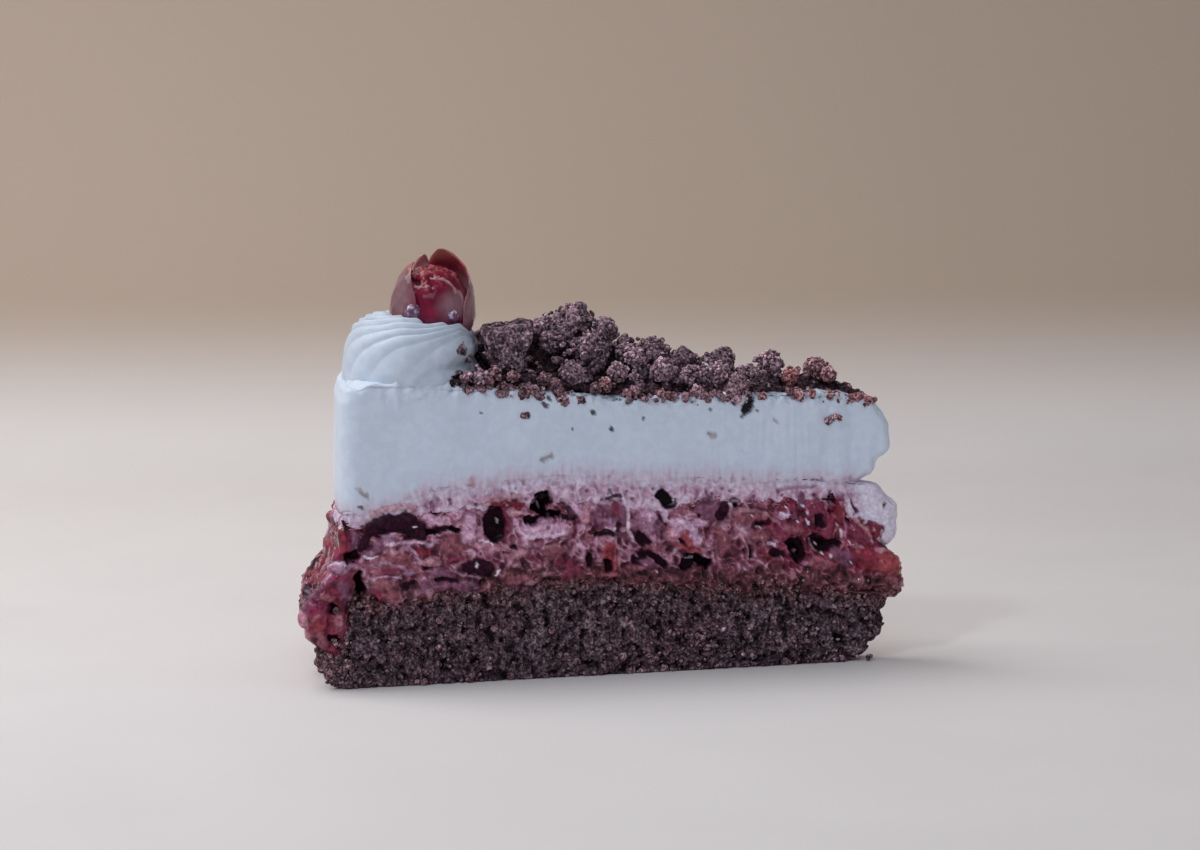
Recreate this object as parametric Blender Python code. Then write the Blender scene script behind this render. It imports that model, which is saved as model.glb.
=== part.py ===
"""A slice of black forest cake.

One wedge of a round cake stands on its sponge. From below: chocolate sponge, cherries in jelly, a thin
band of cherry-stained cream, and white whipped cream. On top are a piped rosette with a split glazed
cherry, a heap of chocolate crumbs, and one larger broken lump of sponge. The rim is at -X, the tip at
+X, and the two cut faces look to -Y and +Y.

Lengths in the constants are millimetres, and the meshes are made in metres.
"""

import math

import bmesh
import bpy
from mathutils import Matrix, Vector, noise

MM = 0.001
OBJECT_NAME = "black_forest_cake_slice"

# The wedge: one of fourteen equal slices of a 26 cm cake. Its cut faces would meet at the apex.
CAKE_RADIUS = 130.0
SLICES = 14
HALF_ANGLE = math.pi / SLICES
APEX_X = 71.0
LAYER_GAP = 0.3

# A layer's tip is rounded: it stands out by this share of its half width, and fades in this length.
TIP_BOW = 0.8
TIP_BOW_LENGTH = 3.0

# Heights of the layers, as (distance from the apex, height above the base).
SPONGE_TOP = ((5, 16.4), (37, 18.3), (76, 21.6), (130, 18.5))
FILLING_TOP = ((7, 26.0), (12, 29.5), (21, 36.5), (51, 37.6), (60, 36.4), (82, 39.0), (107, 38.0), (130, 35.2))
STAINED_TOP = ((5, 38.6), (28, 40.5), (51, 41.9), (82, 43.6), (105, 42.4), (130, 36.9))
CREAM_TOP = ((6, 57.0), (13, 59.2), (28, 60.8), (62, 61.0), (95, 64.2), (130, 66.1))
CREAM_CROWN = 0.6
STAINED_GAP = 0.6

# Ends of each layer, as (share of the layer's height, distance from the apex), and the half width
# that its tip keeps.
SPONGE_TIP = ((0.0, 15.6), (0.15, 11.0), (0.42, 8.3), (0.85, 6.9), (1.0, 7.6))
SPONGE_RIM = ((0.0, 129.0), (0.2, 129.6), (1.0, 129.6))
SPONGE_TIP_WIDTH = 1.4
FILLING_TIP = ((0.0, 4.6), (0.25, 3.5), (0.6, 6.0), (1.0, 9.0))
FILLING_TIP_WIDTH = 2.6
STAINED_TIP = ((0.0, 8.0), (0.35, 5.2), (0.7, 5.4), (1.0, 9.5))
STAINED_RIM = ((0.0, 130.4), (1.0, 130.2))
STAINED_TIP_WIDTH = 2.4
CREAM_TIP = ((0.0, 13.6), (0.3, 9.8), (0.56, 6.6), (0.75, 6.7), (1.0, 9.6))
CREAM_RIM = ((0.0, 129.6), (0.25, 130.2), (0.85, 130.0), (0.95, 129.2), (1.0, 127.8))
CREAM_TIP_WIDTH = 1.7

# The round lump of stained cream at the tip stands out from the cut faces.
LUMP_DISTANCE = 11.0
LUMP_LENGTH = 6.0
LUMP_SWELL = 0.9

# The jelly that has run down the outer wall of the sponge: its foot, which rises and falls along the
# rim, and its outer face as (share of its height, distance from the apex), swelling in broad drops.
RUN_INNER = SPONGE_RIM[-1][1] + LAYER_GAP
RUN_FOOT = 8.6
RUN_FOOT_WAVE = 2.2
RUN_WAVE_LENGTH = 4.0
RUN_OUTLINE = ((0.0, 133.8), (0.12, 137.2), (0.28, 138.5), (0.45, 136.6), (0.62, 132.6), (0.8, 131.0), (1.0, 130.4))
RUN_DROPS = 9
RUN_DROP_DEPTH = 0.14

# The crumb heap, as (distance from the apex, height over the cream along the middle).
HEAP_RISE = (
    (11, 0.9), (18, 3.0), (24, 6.2), (30, 3.8), (35, 7.6), (39, 4.6), (45, 7.6),
    (52, 7.8), (60, 11.2), (66, 11.4), (72, 16.2), (78, 17.4), (86, 12.4), (98, 9.6), (118, 3.0),
)
HEAP_EDGE_SHARE = 0.34
HEAP_RIDGE_ACROSS = 0.08
HEAP_THINNEST = 0.6
HEAP_LUMP = 1.5
HEAP_LUMP_SIZE = 6.0
HEAP_TIP = ((0.0, 11.6), (1.0, 12.2))
HEAP_TIP_WIDTH = 1.0
HEAP_INSET = 0.9
HEAP_LEAN = 1.2
HEAP_RIM = 113.0
HEAP_TO_ROSETTE = 1.2

# The piped rosette, an oval mound whose ridges wind up towards the cherry.
ROSETTE_X = -42.0
ROSETTE_Y = -6.6
ROSETTE_HALF_LENGTH = 15.2
ROSETTE_HALF_WIDTH = 18.6
ROSETTE_CREST_LEFT = 78.6
ROSETTE_CREST_RIGHT = 75.2
ROSETTE_RIDGES = 9
ROSETTE_RIDGE_DEPTH = 1.0
ROSETTE_TWIST = 2.3
ROSETTE_SHOULDER = 0.55
ROSETTE_SLOPE = 1.25
ROSETTE_UNDERCUT = 0.8
ROSETTE_BOWL_ROOM = 0.9
ROSETTE_FOOT_INSET = 0.96

# The glazed cherry: its round body, and the petals that it is split into above, as (middle in degrees
# from +X, half width in degrees, height of the point over the even top).
CHERRY_X = -36.7
CHERRY_Y = -6.6
CHERRY_Z = 80.6
CHERRY_RADIUS = 9.4
CHERRY_DEPTH_BELOW = 7.6
CHERRY_HEIGHT_ABOVE = 10.4
CHERRY_HOLLOW_Z = 86.4
CHERRY_SPLIT_DEPTH = 0.16
CHERRY_SPLIT_DROP = 0.18
CHERRY_PETALS = ((35.0, 58.0, 3.9), (126.0, 38.0, 1.6), (196.0, 40.0, 0.5), (278.0, 50.0, -1.6))

# The broken lump of sponge at the front of the heap, and the room that the heap leaves round it.
CHUNK_PLACE = (-20.4, -9.4, 71.6)
CHUNK_SIZE = (12.6, 10.6, 9.8)
CHUNK_TURN = (math.radians(8), math.radians(-12), math.radians(14))
CHUNK_BLOCKINESS = 0.45
CHUNK_ROOM = 8.6


def smooth_step(x):
    """0 below 0, 1 above 1, and an even rise between."""
    x = min(max(x, 0.0), 1.0)
    return x * x * (3 - 2 * x)


def read(profile, x):
    """The profile's value at x, rising evenly from point to point and level past its ends."""
    if x <= profile[0][0]:
        return profile[0][1]
    for (x0, y0), (x1, y1) in zip(profile, profile[1:]):
        if x <= x1:
            return y0 + (y1 - y0) * smooth_step((x - x0) / (x1 - x0))
    return profile[-1][1]


def uneven(point, size, depth, turn=0.0):
    """A soft random height of at most about depth, with hollows and swells as wide as size."""
    return depth * noise.noise(Vector(point) / size + Vector((turn, -turn, 0.5 * turn)))


def clear_scene():
    for old in list(bpy.data.objects):
        bpy.data.objects.remove(old, do_unlink=True)


def material(name, colour, roughness, subsurface=0.0, coat=0.0):
    """An opaque food material of one colour, given in linear RGB."""
    made = bpy.data.materials.new(name)
    made.use_nodes = True
    shader = made.node_tree.nodes["Principled BSDF"]
    shader.inputs["Base Color"].default_value = (*colour, 1.0)
    shader.inputs["Roughness"].default_value = roughness
    shader.inputs["Metallic"].default_value = 0.0
    shader.inputs["Subsurface Weight"].default_value = subsurface
    shader.inputs["Coat Weight"].default_value = coat
    made.diffuse_color = (*colour, 1.0)
    return made


def add_object(grid, name, look, smooth_angle, collection):
    """Makes a named object of a mesh whose points are in millimetres."""
    bmesh.ops.scale(grid, vec=(MM, MM, MM), verts=grid.verts)
    bmesh.ops.recalc_face_normals(grid, faces=grid.faces)
    mesh = bpy.data.meshes.new(name)
    grid.to_mesh(mesh)
    grid.free()
    mesh.shade_smooth()
    mesh.set_sharp_from_angle(angle=math.radians(smooth_angle))
    mesh.materials.append(look)
    made = bpy.data.objects.new(name, mesh)
    collection.objects.link(made)
    return made


def lattice(cuts_along, cuts_across, cuts_up):
    """A unit cube whose surface is cut into a grid: along u from the tip, across v, and up w."""
    grid = bmesh.new()
    bmesh.ops.create_cube(grid, size=1.0, matrix=Matrix.Translation((0.5, 0.5, 0.5)))
    for axis, cuts in enumerate((cuts_along, cuts_across, cuts_up)):
        normal = Vector((0.0, 0.0, 0.0))
        normal[axis] = 1.0
        for cut in range(1, cuts):
            everything = grid.verts[:] + grid.edges[:] + grid.faces[:]
            bmesh.ops.bisect_plane(
                grid, geom=everything, dist=1e-6, plane_co=normal * (cut / cuts), plane_no=normal
            )
    return grid


def apex_distance(x, y):
    return math.hypot(APEX_X - x, y)


def tip_of(profile, w, width):
    """Where a layer's cut faces start at this share of its height, and how far its end bows out."""
    distance = read(profile, w)
    bow = TIP_BOW * math.hypot(distance * math.tan(HALF_ANGLE), width)
    return distance + bow, bow


def wedge_point(distance, across, width, start, bow):
    """The place in plan of a point at this distance from the apex.

    across runs from -1 on the front cut face to 1 on the back one. width is the half width that the
    wedge keeps at the apex, and its end, at distance start, bows out by bow.
    """
    angle = across * HALF_ANGLE
    straight = distance * math.tan(HALF_ANGLE)
    x = APEX_X - distance * math.cos(angle)
    x += bow * (1 - across * across) * math.exp(-(distance - start) / TIP_BOW_LENGTH)
    y = distance * math.sin(angle) + across * (math.hypot(straight, width) - straight)
    return x, y


def layer(cuts, low, high, tip, rim, width, wall):
    """A layer of the wedge between two heights, as a mesh in millimetres.

    low and high give the height at a place in plan. tip is the profile of the layer's point and rim
    the distance of its outer wall at (share of the height, across). wall is how far the walls stand
    out at (distance, across, share of the height).
    """
    grid = lattice(*cuts)
    for vert in grid.verts:
        along, v, w = vert.co
        across = 2 * v - 1
        start, bow = tip_of(tip, w, width)
        distance = start + (rim(w, across) - start) * along
        x, y = wedge_point(distance, across, width, start, bow)
        bottom = low(x, y)
        z = bottom + (high(x, y) - bottom) * w
        swell = wall(distance, across, w)
        y += across**3 * swell
        x -= swell * (1 - across**4) * (along > 0.999)
        x += swell * (along < 0.001)
        vert.co = (x, y, z)
    return grid


def sponge_high(x, y):
    return read(SPONGE_TOP, apex_distance(x, y))


def filling_high(x, y):
    return read(FILLING_TOP, apex_distance(x, y))


def stained_high(x, y):
    return read(STAINED_TOP, apex_distance(x, y))


def cream_high(x, y):
    """Top of the white cream: the middle is a little higher than the cut edges."""
    distance = apex_distance(x, y)
    across = y / (distance * math.sin(HALF_ANGLE))
    return read(CREAM_TOP, distance) + CREAM_CROWN * max(1 - across * across, 0.0)


def make_sponge(collection):
    """Dark chocolate sponge, flat underneath, with the uneven walls of a cut crumb."""

    def wall(distance, across, w):
        return uneven((distance, 40 * across, 20 * w), 7.0, 0.5) * smooth_step(4 * w)

    grid = layer(
        cuts=(28, 6, 4),
        low=lambda x, y: 0.0,
        high=sponge_high,
        tip=SPONGE_TIP,
        rim=lambda w, across: read(SPONGE_RIM, w),
        width=SPONGE_TIP_WIDTH,
        wall=wall,
    )
    look = material("sponge", (0.032, 0.017, 0.016), 0.95)
    return add_object(grid, "sponge", look, 40, collection)


def run_foot(y):
    """Height of the lower edge of the jelly that has run down the sponge's outer wall."""
    return RUN_FOOT + RUN_FOOT_WAVE * math.sin(y / RUN_WAVE_LENGTH + 0.6)


def run_face(w, across):
    """Distance of the outer face of that jelly."""
    swell = read(RUN_OUTLINE, w) - CAKE_RADIUS
    drops = 1 - RUN_DROP_DEPTH + RUN_DROP_DEPTH * math.cos(RUN_DROPS * across + 2.4)
    return CAKE_RADIUS + swell * drops


def make_filling(collection):
    """Cherries in dark red jelly: a lumpy cut face, and a run over the outer wall of the sponge.

    The last rows of the lattice are the run. They start with a step down the sponge's wall.
    """
    cuts_along, run_rows = 38, 3
    run_start = 1 - run_rows / cuts_along
    grid = lattice(cuts_along, 8, 6)
    for vert in grid.verts:
        along, v, w = vert.co
        across = 2 * v - 1
        start, bow = tip_of(FILLING_TIP, w, FILLING_TIP_WIDTH)
        on_sponge = along < run_start + 1e-4
        if on_sponge:
            distance = start + (RUN_INNER - start) * along / run_start
        else:
            share = ((along - run_start) * cuts_along - 1) / (run_rows - 1)
            distance = RUN_INNER + (run_face(w, across) - RUN_INNER) * max(share, 0.01)
        x, y = wedge_point(distance, across, FILLING_TIP_WIDTH, start, bow)
        bottom = sponge_high(x, y) + LAYER_GAP if on_sponge else run_foot(y)
        z = bottom + (filling_high(x, y) - bottom) * w
        lump = uneven((distance, 50 * across, z), 6.5, 1.3, turn=3.0) * math.sin(math.pi * w)
        vert.co = (x, y + across**3 * lump, z)
    look = material("cherry_jelly", (0.12, 0.012, 0.022), 0.2, subsurface=0.3, coat=0.6)
    return add_object(grid, "cherry_filling", look, 50, collection)


def make_stained_cream(collection):
    """A thin band of cream stained pink by the cherries, which ends in a round lump at the tip."""

    def wall(distance, across, w):
        lump = LUMP_SWELL * math.exp(-(((distance - LUMP_DISTANCE) / LUMP_LENGTH) ** 2))
        return lump + uneven((distance, 30 * across, 12 * w), 8.0, 0.7, turn=6.0)

    grid = layer(
        cuts=(38, 6, 3),
        low=lambda x, y: filling_high(x, y) + STAINED_GAP,
        high=stained_high,
        tip=STAINED_TIP,
        rim=lambda w, across: read(STAINED_RIM, w),
        width=STAINED_TIP_WIDTH,
        wall=wall,
    )
    look = material("stained_cream", (0.5, 0.27, 0.33), 0.5, subsurface=0.3)
    return add_object(grid, "stained_cream", look, 50, collection)


def make_white_cream(collection):
    """The thick band of whipped cream, its point swollen over a notch."""

    def wall(distance, across, w):
        return uneven((distance, 25 * across, 14 * w), 16.0, 0.5, turn=9.0)

    grid = layer(
        cuts=(28, 8, 5),
        low=lambda x, y: stained_high(x, y) + LAYER_GAP,
        high=cream_high,
        tip=CREAM_TIP,
        rim=lambda w, across: read(CREAM_RIM, w),
        width=CREAM_TIP_WIDTH,
        wall=wall,
    )
    look = material("white_cream", (0.76, 0.8, 0.84), 0.5, subsurface=0.3)
    return add_object(grid, "white_cream", look, 50, collection)


def polar_skin(rings, segments, place):
    """A closed skin of rings between two poles: place(angle, share) has share 0 at the lower pole."""
    skin = bmesh.new()
    bmesh.ops.create_uvsphere(skin, u_segments=segments, v_segments=rings, radius=1.0)
    for vert in skin.verts:
        share = 1 - math.acos(min(max(vert.co.z, -1.0), 1.0)) / math.pi
        vert.co = place(math.atan2(vert.co.y, vert.co.x), share)
    return skin


def rosette_crossings(x, y, angle, grow=0.0):
    """Distances from this place, in this direction, at which a ray enters and leaves the rosette's foot.

    The oval foot is made larger all round by grow. A ray that misses it gives None.
    """
    half_length = ROSETTE_HALF_LENGTH + grow
    half_width = ROSETTE_HALF_WIDTH + grow
    from_x = (x - ROSETTE_X) / half_length
    from_y = (y - ROSETTE_Y) / half_width
    step_x = math.cos(angle) / half_length
    step_y = math.sin(angle) / half_width
    a = step_x**2 + step_y**2
    b = from_x * step_x + from_y * step_y
    c = from_x**2 + from_y**2 - 1
    reach = b * b - a * c
    if reach <= 0:
        return None
    return (-b - math.sqrt(reach)) / a, (-b + math.sqrt(reach)) / a


def to_rosette_edge(angle):
    """How far the rosette's foot reaches from the cherry's axis in this direction."""
    return rosette_crossings(CHERRY_X, CHERRY_Y, angle)[1]


def rosette_crest(angle):
    """Radius and height of the rim of cream round the cherry, which is lower towards the tip."""
    to_left = 0.5 - 0.5 * math.cos(angle)
    z = ROSETTE_CREST_RIGHT + (ROSETTE_CREST_LEFT - ROSETTE_CREST_RIGHT) * to_left
    bowl_radius = CHERRY_RADIUS + ROSETTE_BOWL_ROOM
    return bowl_radius * math.sqrt(1 - ((CHERRY_Z - z) / bowl_radius) ** 2), z


def rosette_wall(angle, share):
    """A point of the ridged wall, from its foot at share 0 to the rim round the cherry at 1.

    The direction turns with the height, so that lines of the mesh follow the ridges.
    """
    ridge = math.cos(ROSETTE_RIDGES * angle) - 1
    angle += ROSETTE_TWIST * share
    crest_radius, crest_z = rosette_crest(angle)
    outward = math.cos(share * math.pi / 2) ** ROSETTE_SHOULDER
    radius = crest_radius + (to_rosette_edge(angle) - crest_radius) * outward
    radius -= ROSETTE_UNDERCUT * (1 - smooth_step(4 * share))
    radius += ROSETTE_RIDGE_DEPTH * ridge * math.sin(math.pi * (0.12 + 0.8 * share))
    x = CHERRY_X + radius * math.cos(angle)
    y = CHERRY_Y + radius * math.sin(angle)
    bottom = cream_high(x, y) + LAYER_GAP
    return x, y, bottom + (crest_z - bottom) * math.sin(share * math.pi / 2) ** ROSETTE_SLOPE


def rosette_foot(angle, share):
    """A point of the flat underside, from the cherry's axis at share 0 to the foot at 1."""
    radius = to_rosette_edge(angle) * share * ROSETTE_FOOT_INSET
    x = CHERRY_X + radius * math.cos(angle)
    y = CHERRY_Y + radius * math.sin(angle)
    return x, y, cream_high(x, y) + LAYER_GAP


def rosette_bowl(angle, share):
    """A point of the bowl that holds the cherry, from its rim at share 0 to its middle at 1."""
    angle += ROSETTE_TWIST
    crest_radius, crest_z = rosette_crest(angle)
    radius = crest_radius * (1 - share)
    floor = CHERRY_Z - CHERRY_DEPTH_BELOW - 2 * LAYER_GAP
    rise = 1 - math.sqrt(1 - (radius / (CHERRY_RADIUS + ROSETTE_BOWL_ROOM)) ** 2)
    z = min(floor + 0.95 * CHERRY_DEPTH_BELOW * rise, crest_z)
    return CHERRY_X + radius * math.cos(angle), CHERRY_Y + radius * math.sin(angle), z


def make_rosette(collection):
    """Piped cream: a flat foot, a wall of winding ridges, and a bowl that holds the cherry."""
    foot_share, crest_share = 0.18, 0.78

    def place(angle, share):
        if share < foot_share:
            return rosette_foot(angle, share / foot_share)
        if share < crest_share:
            return rosette_wall(angle, (share - foot_share) / (crest_share - foot_share))
        return rosette_bowl(angle, (share - crest_share) / (1 - crest_share))

    grid = polar_skin(rings=14, segments=5 * ROSETTE_RIDGES, place=place)
    look = material("piped_cream", (0.8, 0.83, 0.87), 0.45, subsurface=0.3)
    return add_object(grid, "cream_rosette", look, 60, collection)


def petal_at(angle):
    """How far this direction is inside a petal, from 0 at a split to 1, and its height over the rest."""
    inside, height = 0.0, 0.0
    for middle, half_width, extra in CHERRY_PETALS:
        turn = (math.degrees(angle) - middle + 180) % 360 - 180
        share = 1 - abs(turn) / half_width
        if share > inside:
            inside, height = share, extra
    return smooth_step(2.2 * inside), height * smooth_step(1.4 * inside)


def make_cherry(collection):
    """A glazed cherry, round below and split above into petals round a torn hollow."""
    tip_share = 0.84

    def skin_point(angle, share):
        inside, extra = petal_at(angle)
        opened = smooth_step((share - 0.5) / (tip_share - 0.5))
        radius = CHERRY_RADIUS * math.sin(math.pi * share) ** 0.9
        radius *= 1 - CHERRY_SPLIT_DEPTH * opened * (1 - inside)
        rise = -math.cos(math.pi * share)
        if rise < 0:
            return radius, CHERRY_Z + CHERRY_DEPTH_BELOW * rise
        top = CHERRY_HEIGHT_ABOVE * (1 - CHERRY_SPLIT_DROP * (1 - inside)) + extra
        return radius, CHERRY_Z + top * rise

    def place(angle, share):
        radius, z = skin_point(angle, min(share, tip_share))
        inward = max((share - tip_share) / (1 - tip_share), 0.0)
        radius *= 1 - inward
        z += (CHERRY_HOLLOW_Z - z) * smooth_step(1.3 * inward)
        return CHERRY_X + radius * math.cos(angle), CHERRY_Y + radius * math.sin(angle), z

    grid = polar_skin(rings=14, segments=28, place=place)
    look = material("glazed_cherry", (0.14, 0.012, 0.02), 0.12, subsurface=0.2, coat=1.0)
    return add_object(grid, "topping_cherry", look, 50, collection)


def heap_rim(w, across):
    """Where the heap ends: short of the rosette, and beside it a little nearer the rim."""
    crossings = rosette_crossings(APEX_X, 0.0, math.pi - across * HALF_ANGLE, HEAP_TO_ROSETTE)
    if crossings is None:
        return HEAP_RIM
    return min(crossings[0], HEAP_RIM)


def heap_high(x, y):
    """Top of the crumbs: highest along the middle, low at the edges and round the sponge lump."""
    distance = apex_distance(x, y)
    across = y / (distance * math.sin(HALF_ANGLE)) - HEAP_RIDGE_ACROSS
    rise = read(HEAP_RISE, distance) * (1 - (1 - HEAP_EDGE_SHARE) * min(abs(across), 1.0) ** 2.2)
    to_chunk = math.hypot(x - CHUNK_PLACE[0], y - CHUNK_PLACE[1]) / CHUNK_ROOM
    rise = HEAP_THINNEST + (rise - HEAP_THINNEST) * smooth_step(2 * to_chunk - 1.5)
    lumps = uneven((x, y, 0), HEAP_LUMP_SIZE, HEAP_LUMP, turn=2.0) * smooth_step(rise / 5)
    return cream_high(x, y) + LAYER_GAP + max(rise + lumps, HEAP_THINNEST)


def make_heap(collection):
    """Chocolate crumbs over the cream, as one mass out to their lumpy outline."""

    def wall(distance, across, w):
        return uneven((distance, 30 * across, 9 * w), 5.0, 0.6) - HEAP_INSET - HEAP_LEAN * w

    grid = layer(
        cuts=(32, 9, 2),
        low=lambda x, y: cream_high(x, y) + LAYER_GAP,
        high=heap_high,
        tip=HEAP_TIP,
        rim=heap_rim,
        width=HEAP_TIP_WIDTH,
        wall=wall,
    )
    look = material("chocolate_crumbs", (0.045, 0.024, 0.022), 0.95)
    return add_object(grid, "crumb_heap", look, 30, collection)


def make_chunk(collection):
    """One larger broken lump of sponge, blocky with worn corners and wider above."""
    grid = bmesh.new()
    bmesh.ops.create_icosphere(grid, subdivisions=3, radius=0.5)
    for vert in grid.verts:
        longest = max(abs(part) for part in vert.co)
        blocky = vert.co.lerp(vert.co * (0.5 / longest), CHUNK_BLOCKINESS)
        blocky *= 1 + uneven(blocky, 0.35, 0.16, turn=4.0)
        narrow = 0.94 + 0.28 * blocky.z
        vert.co = (
            blocky.x * CHUNK_SIZE[0] * narrow,
            blocky.y * CHUNK_SIZE[1] * narrow,
            blocky.z * CHUNK_SIZE[2],
        )
    for axis, angle in zip("XYZ", CHUNK_TURN):
        bmesh.ops.rotate(grid, verts=grid.verts, matrix=Matrix.Rotation(angle, 3, axis))
    bmesh.ops.translate(grid, verts=grid.verts, vec=CHUNK_PLACE)
    look = material("chocolate_sponge_chunk", (0.05, 0.028, 0.025), 0.95)
    return add_object(grid, "sponge_chunk", look, 25, collection)


def main():
    clear_scene()
    collection = bpy.data.collections.new(OBJECT_NAME)
    bpy.context.scene.collection.children.link(collection)
    make_sponge(collection)
    make_filling(collection)
    make_stained_cream(collection)
    make_white_cream(collection)
    make_rosette(collection)
    make_cherry(collection)
    make_heap(collection)
    make_chunk(collection)


main()
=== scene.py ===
"""The looks of a slice of black forest cake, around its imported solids.

Every solid is replaced by a detailed mesh in the same place: the four layers, the piped rosette, the
split cherry, the broken lump of sponge, and the crumbs with a smaller core under them. Each mesh carries
its colour and gloss point by point, and its material adds the grain that is finer than the mesh. Lengths
are millimetres until a mesh is made. The rim of the cake is at -X, the tip of the slice at +X, and the
front cut face looks to -Y.
"""

import math

import bmesh
import bpy
import numpy as np
from mathutils import Matrix, Vector
from mathutils.bvhtree import BVHTree


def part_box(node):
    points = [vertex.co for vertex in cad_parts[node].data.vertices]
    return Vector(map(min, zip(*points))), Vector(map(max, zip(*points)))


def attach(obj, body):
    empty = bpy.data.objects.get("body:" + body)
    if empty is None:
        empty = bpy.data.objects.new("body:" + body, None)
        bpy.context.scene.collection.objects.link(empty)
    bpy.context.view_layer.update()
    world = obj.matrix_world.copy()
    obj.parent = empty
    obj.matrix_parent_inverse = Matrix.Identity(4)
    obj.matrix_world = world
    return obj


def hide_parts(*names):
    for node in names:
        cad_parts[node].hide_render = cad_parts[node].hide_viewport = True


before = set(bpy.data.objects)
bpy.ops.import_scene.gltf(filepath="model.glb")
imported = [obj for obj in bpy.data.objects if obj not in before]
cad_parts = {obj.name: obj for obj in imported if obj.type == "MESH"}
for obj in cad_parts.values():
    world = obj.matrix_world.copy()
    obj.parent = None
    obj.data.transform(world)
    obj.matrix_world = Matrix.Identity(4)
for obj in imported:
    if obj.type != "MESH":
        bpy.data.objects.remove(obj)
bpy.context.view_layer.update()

MM = 0.001
BODY = "root"

# The wedge, as the solids have it: its cut faces would meet at the apex.
HALF_ANGLE = math.pi / 14
APEX_X = 71.0
TIP_BOW = 0.8
TIP_BOW_LENGTH = 3.0

# Heights of the layers, as (distance from the apex, height above the base).
SPONGE_TOP = ((5, 16.4), (37, 18.3), (76, 21.6), (130, 18.5))
FILLING_TOP = (
    (7, 26.0), (12, 29.5), (21, 36.5), (51, 37.6), (60, 36.4), (82, 39.0), (107, 38.0), (130, 35.2)
)
STAINED_TOP = ((5, 38.6), (28, 40.5), (51, 41.9), (82, 43.6), (105, 42.4), (130, 36.9))
CREAM_TOP = ((6, 57.0), (13, 59.2), (28, 60.8), (62, 61.0), (95, 64.2), (130, 66.1))
CREAM_CROWN = 0.6

# Ends of each layer, as (share of its height, distance from the apex).
SPONGE_TIP = ((0.0, 15.6), (0.15, 11.0), (0.42, 8.3), (0.85, 6.9), (1.0, 7.6))
SPONGE_RIM = ((0.0, 129.0), (0.2, 129.6), (1.0, 129.6))
FILLING_TIP = ((0.0, 4.6), (0.25, 3.5), (0.6, 6.0), (1.0, 9.0))
STAINED_TIP = ((0.0, 8.0), (0.35, 5.2), (0.7, 5.4), (1.0, 9.5))
STAINED_RIM = ((0.0, 130.4), (1.0, 130.2))
CREAM_TIP = ((0.0, 14.8), (0.1, 13.4), (0.3, 9.8), (0.56, 6.6), (0.75, 6.7), (1.0, 9.6))
CREAM_RIM = ((0.0, 129.6), (0.25, 130.2), (0.85, 130.0), (0.95, 129.2), (1.0, 127.8))

# How wide the blunt tip of each layer is, from its middle to one side.
SPONGE_TIP_WIDTH, FILLING_TIP_WIDTH, STAINED_TIP_WIDTH, CREAM_TIP_WIDTH = 1.4, 2.6, 2.4, 1.7

# The jelly that has run down the outer wall of the sponge.
RUN_INNER = 129.8
RUN_FOOT, RUN_FOOT_WAVE, RUN_WAVE_LENGTH = 8.6, 2.2, 4.0
RUN_OUTLINE = (
    (0.0, 133.8), (0.12, 137.2), (0.28, 138.5), (0.45, 136.6), (0.62, 132.6), (0.8, 131.0), (1.0, 130.4)
)
RUN_BASE = 130.0  # the part of RUN_OUTLINE that doesn't swell and shrink along the rim
RUN_SHARE = 0.93  # share of the way from tip to rim where the run starts

LAYER_LENGTH = 122.0
RIM_LENGTH = 58.0
TIP_LENGTH = 7.0
RUN_LENGTH = 8.5
SKIN_CENTRE = 0.6  # share of the length where the skins of a layer close
ROUND = 0.29  # how far a rounded edge draws in, as a share of its radius

draw = np.random.default_rng(26)


# ---------------------------------------------------------------- noise and profiles

TABLE_SIZE = 256
TABLE = draw.permutation(TABLE_SIZE)
GRADIENTS = draw.normal(size=(TABLE_SIZE, 3))
GRADIENTS /= np.linalg.norm(GRADIENTS, axis=1, keepdims=True)
CELL_SEEDS = draw.random((TABLE_SIZE, 3))


def cell_number(cell):
    """A fixed random number from 0 to 255 for each cell of the unit grid."""
    x, y, z = (cell & (TABLE_SIZE - 1)).T
    return TABLE[(TABLE[(TABLE[x] + y) % TABLE_SIZE] + z) % TABLE_SIZE]


def swells(points):
    """Smooth random swells of about -1 to 1 over points, each about one unit wide."""
    cell = np.floor(points).astype(int)
    local = points - cell
    fade = local**3 * (local * (local * 6 - 15) + 10)
    total = np.zeros(len(points))
    for corner in np.ndindex(2, 2, 2):
        weight = np.prod(np.where(corner, fade, 1 - fade), axis=1)
        slope = GRADIENTS[cell_number(cell + np.array(corner))]
        total += weight * np.sum(slope * (local - np.array(corner)), axis=1)
    return 1.6 * total


def rough(points, octaves=3):
    """Swells with finer and finer swells on them."""
    return sum(swells(points * 2**i + 17.3 * i) / 2**i for i in range(octaves))


def cells(points):
    """Distance to the nearest of scattered seeds, and a random share of that seed."""
    base = np.floor(points).astype(int)
    near = np.full(len(points), 9.0)
    share = np.zeros(len(points))
    for step in np.ndindex(3, 3, 3):
        cell = base + np.array(step) - 1
        number = cell_number(cell)
        away = np.linalg.norm(points - cell - CELL_SEEDS[number], axis=1)
        share = np.where(away < near, number / TABLE_SIZE, share)
        near = np.minimum(near, away)
    return near, share


def domes(points, reach=0.8):
    """Round beads packed side by side, from 0 between them to 1 on top, and a random share of each."""
    near, share = cells(points)
    return np.sqrt(np.clip(1 - (near / reach) ** 2, 0, 1)), share


def bends(points, size, starts):
    """Smooth random offsets of about one unit over points, one for each start, that bend a pattern."""
    return np.stack([swells(points / size + start) for start in starts], 1)


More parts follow.
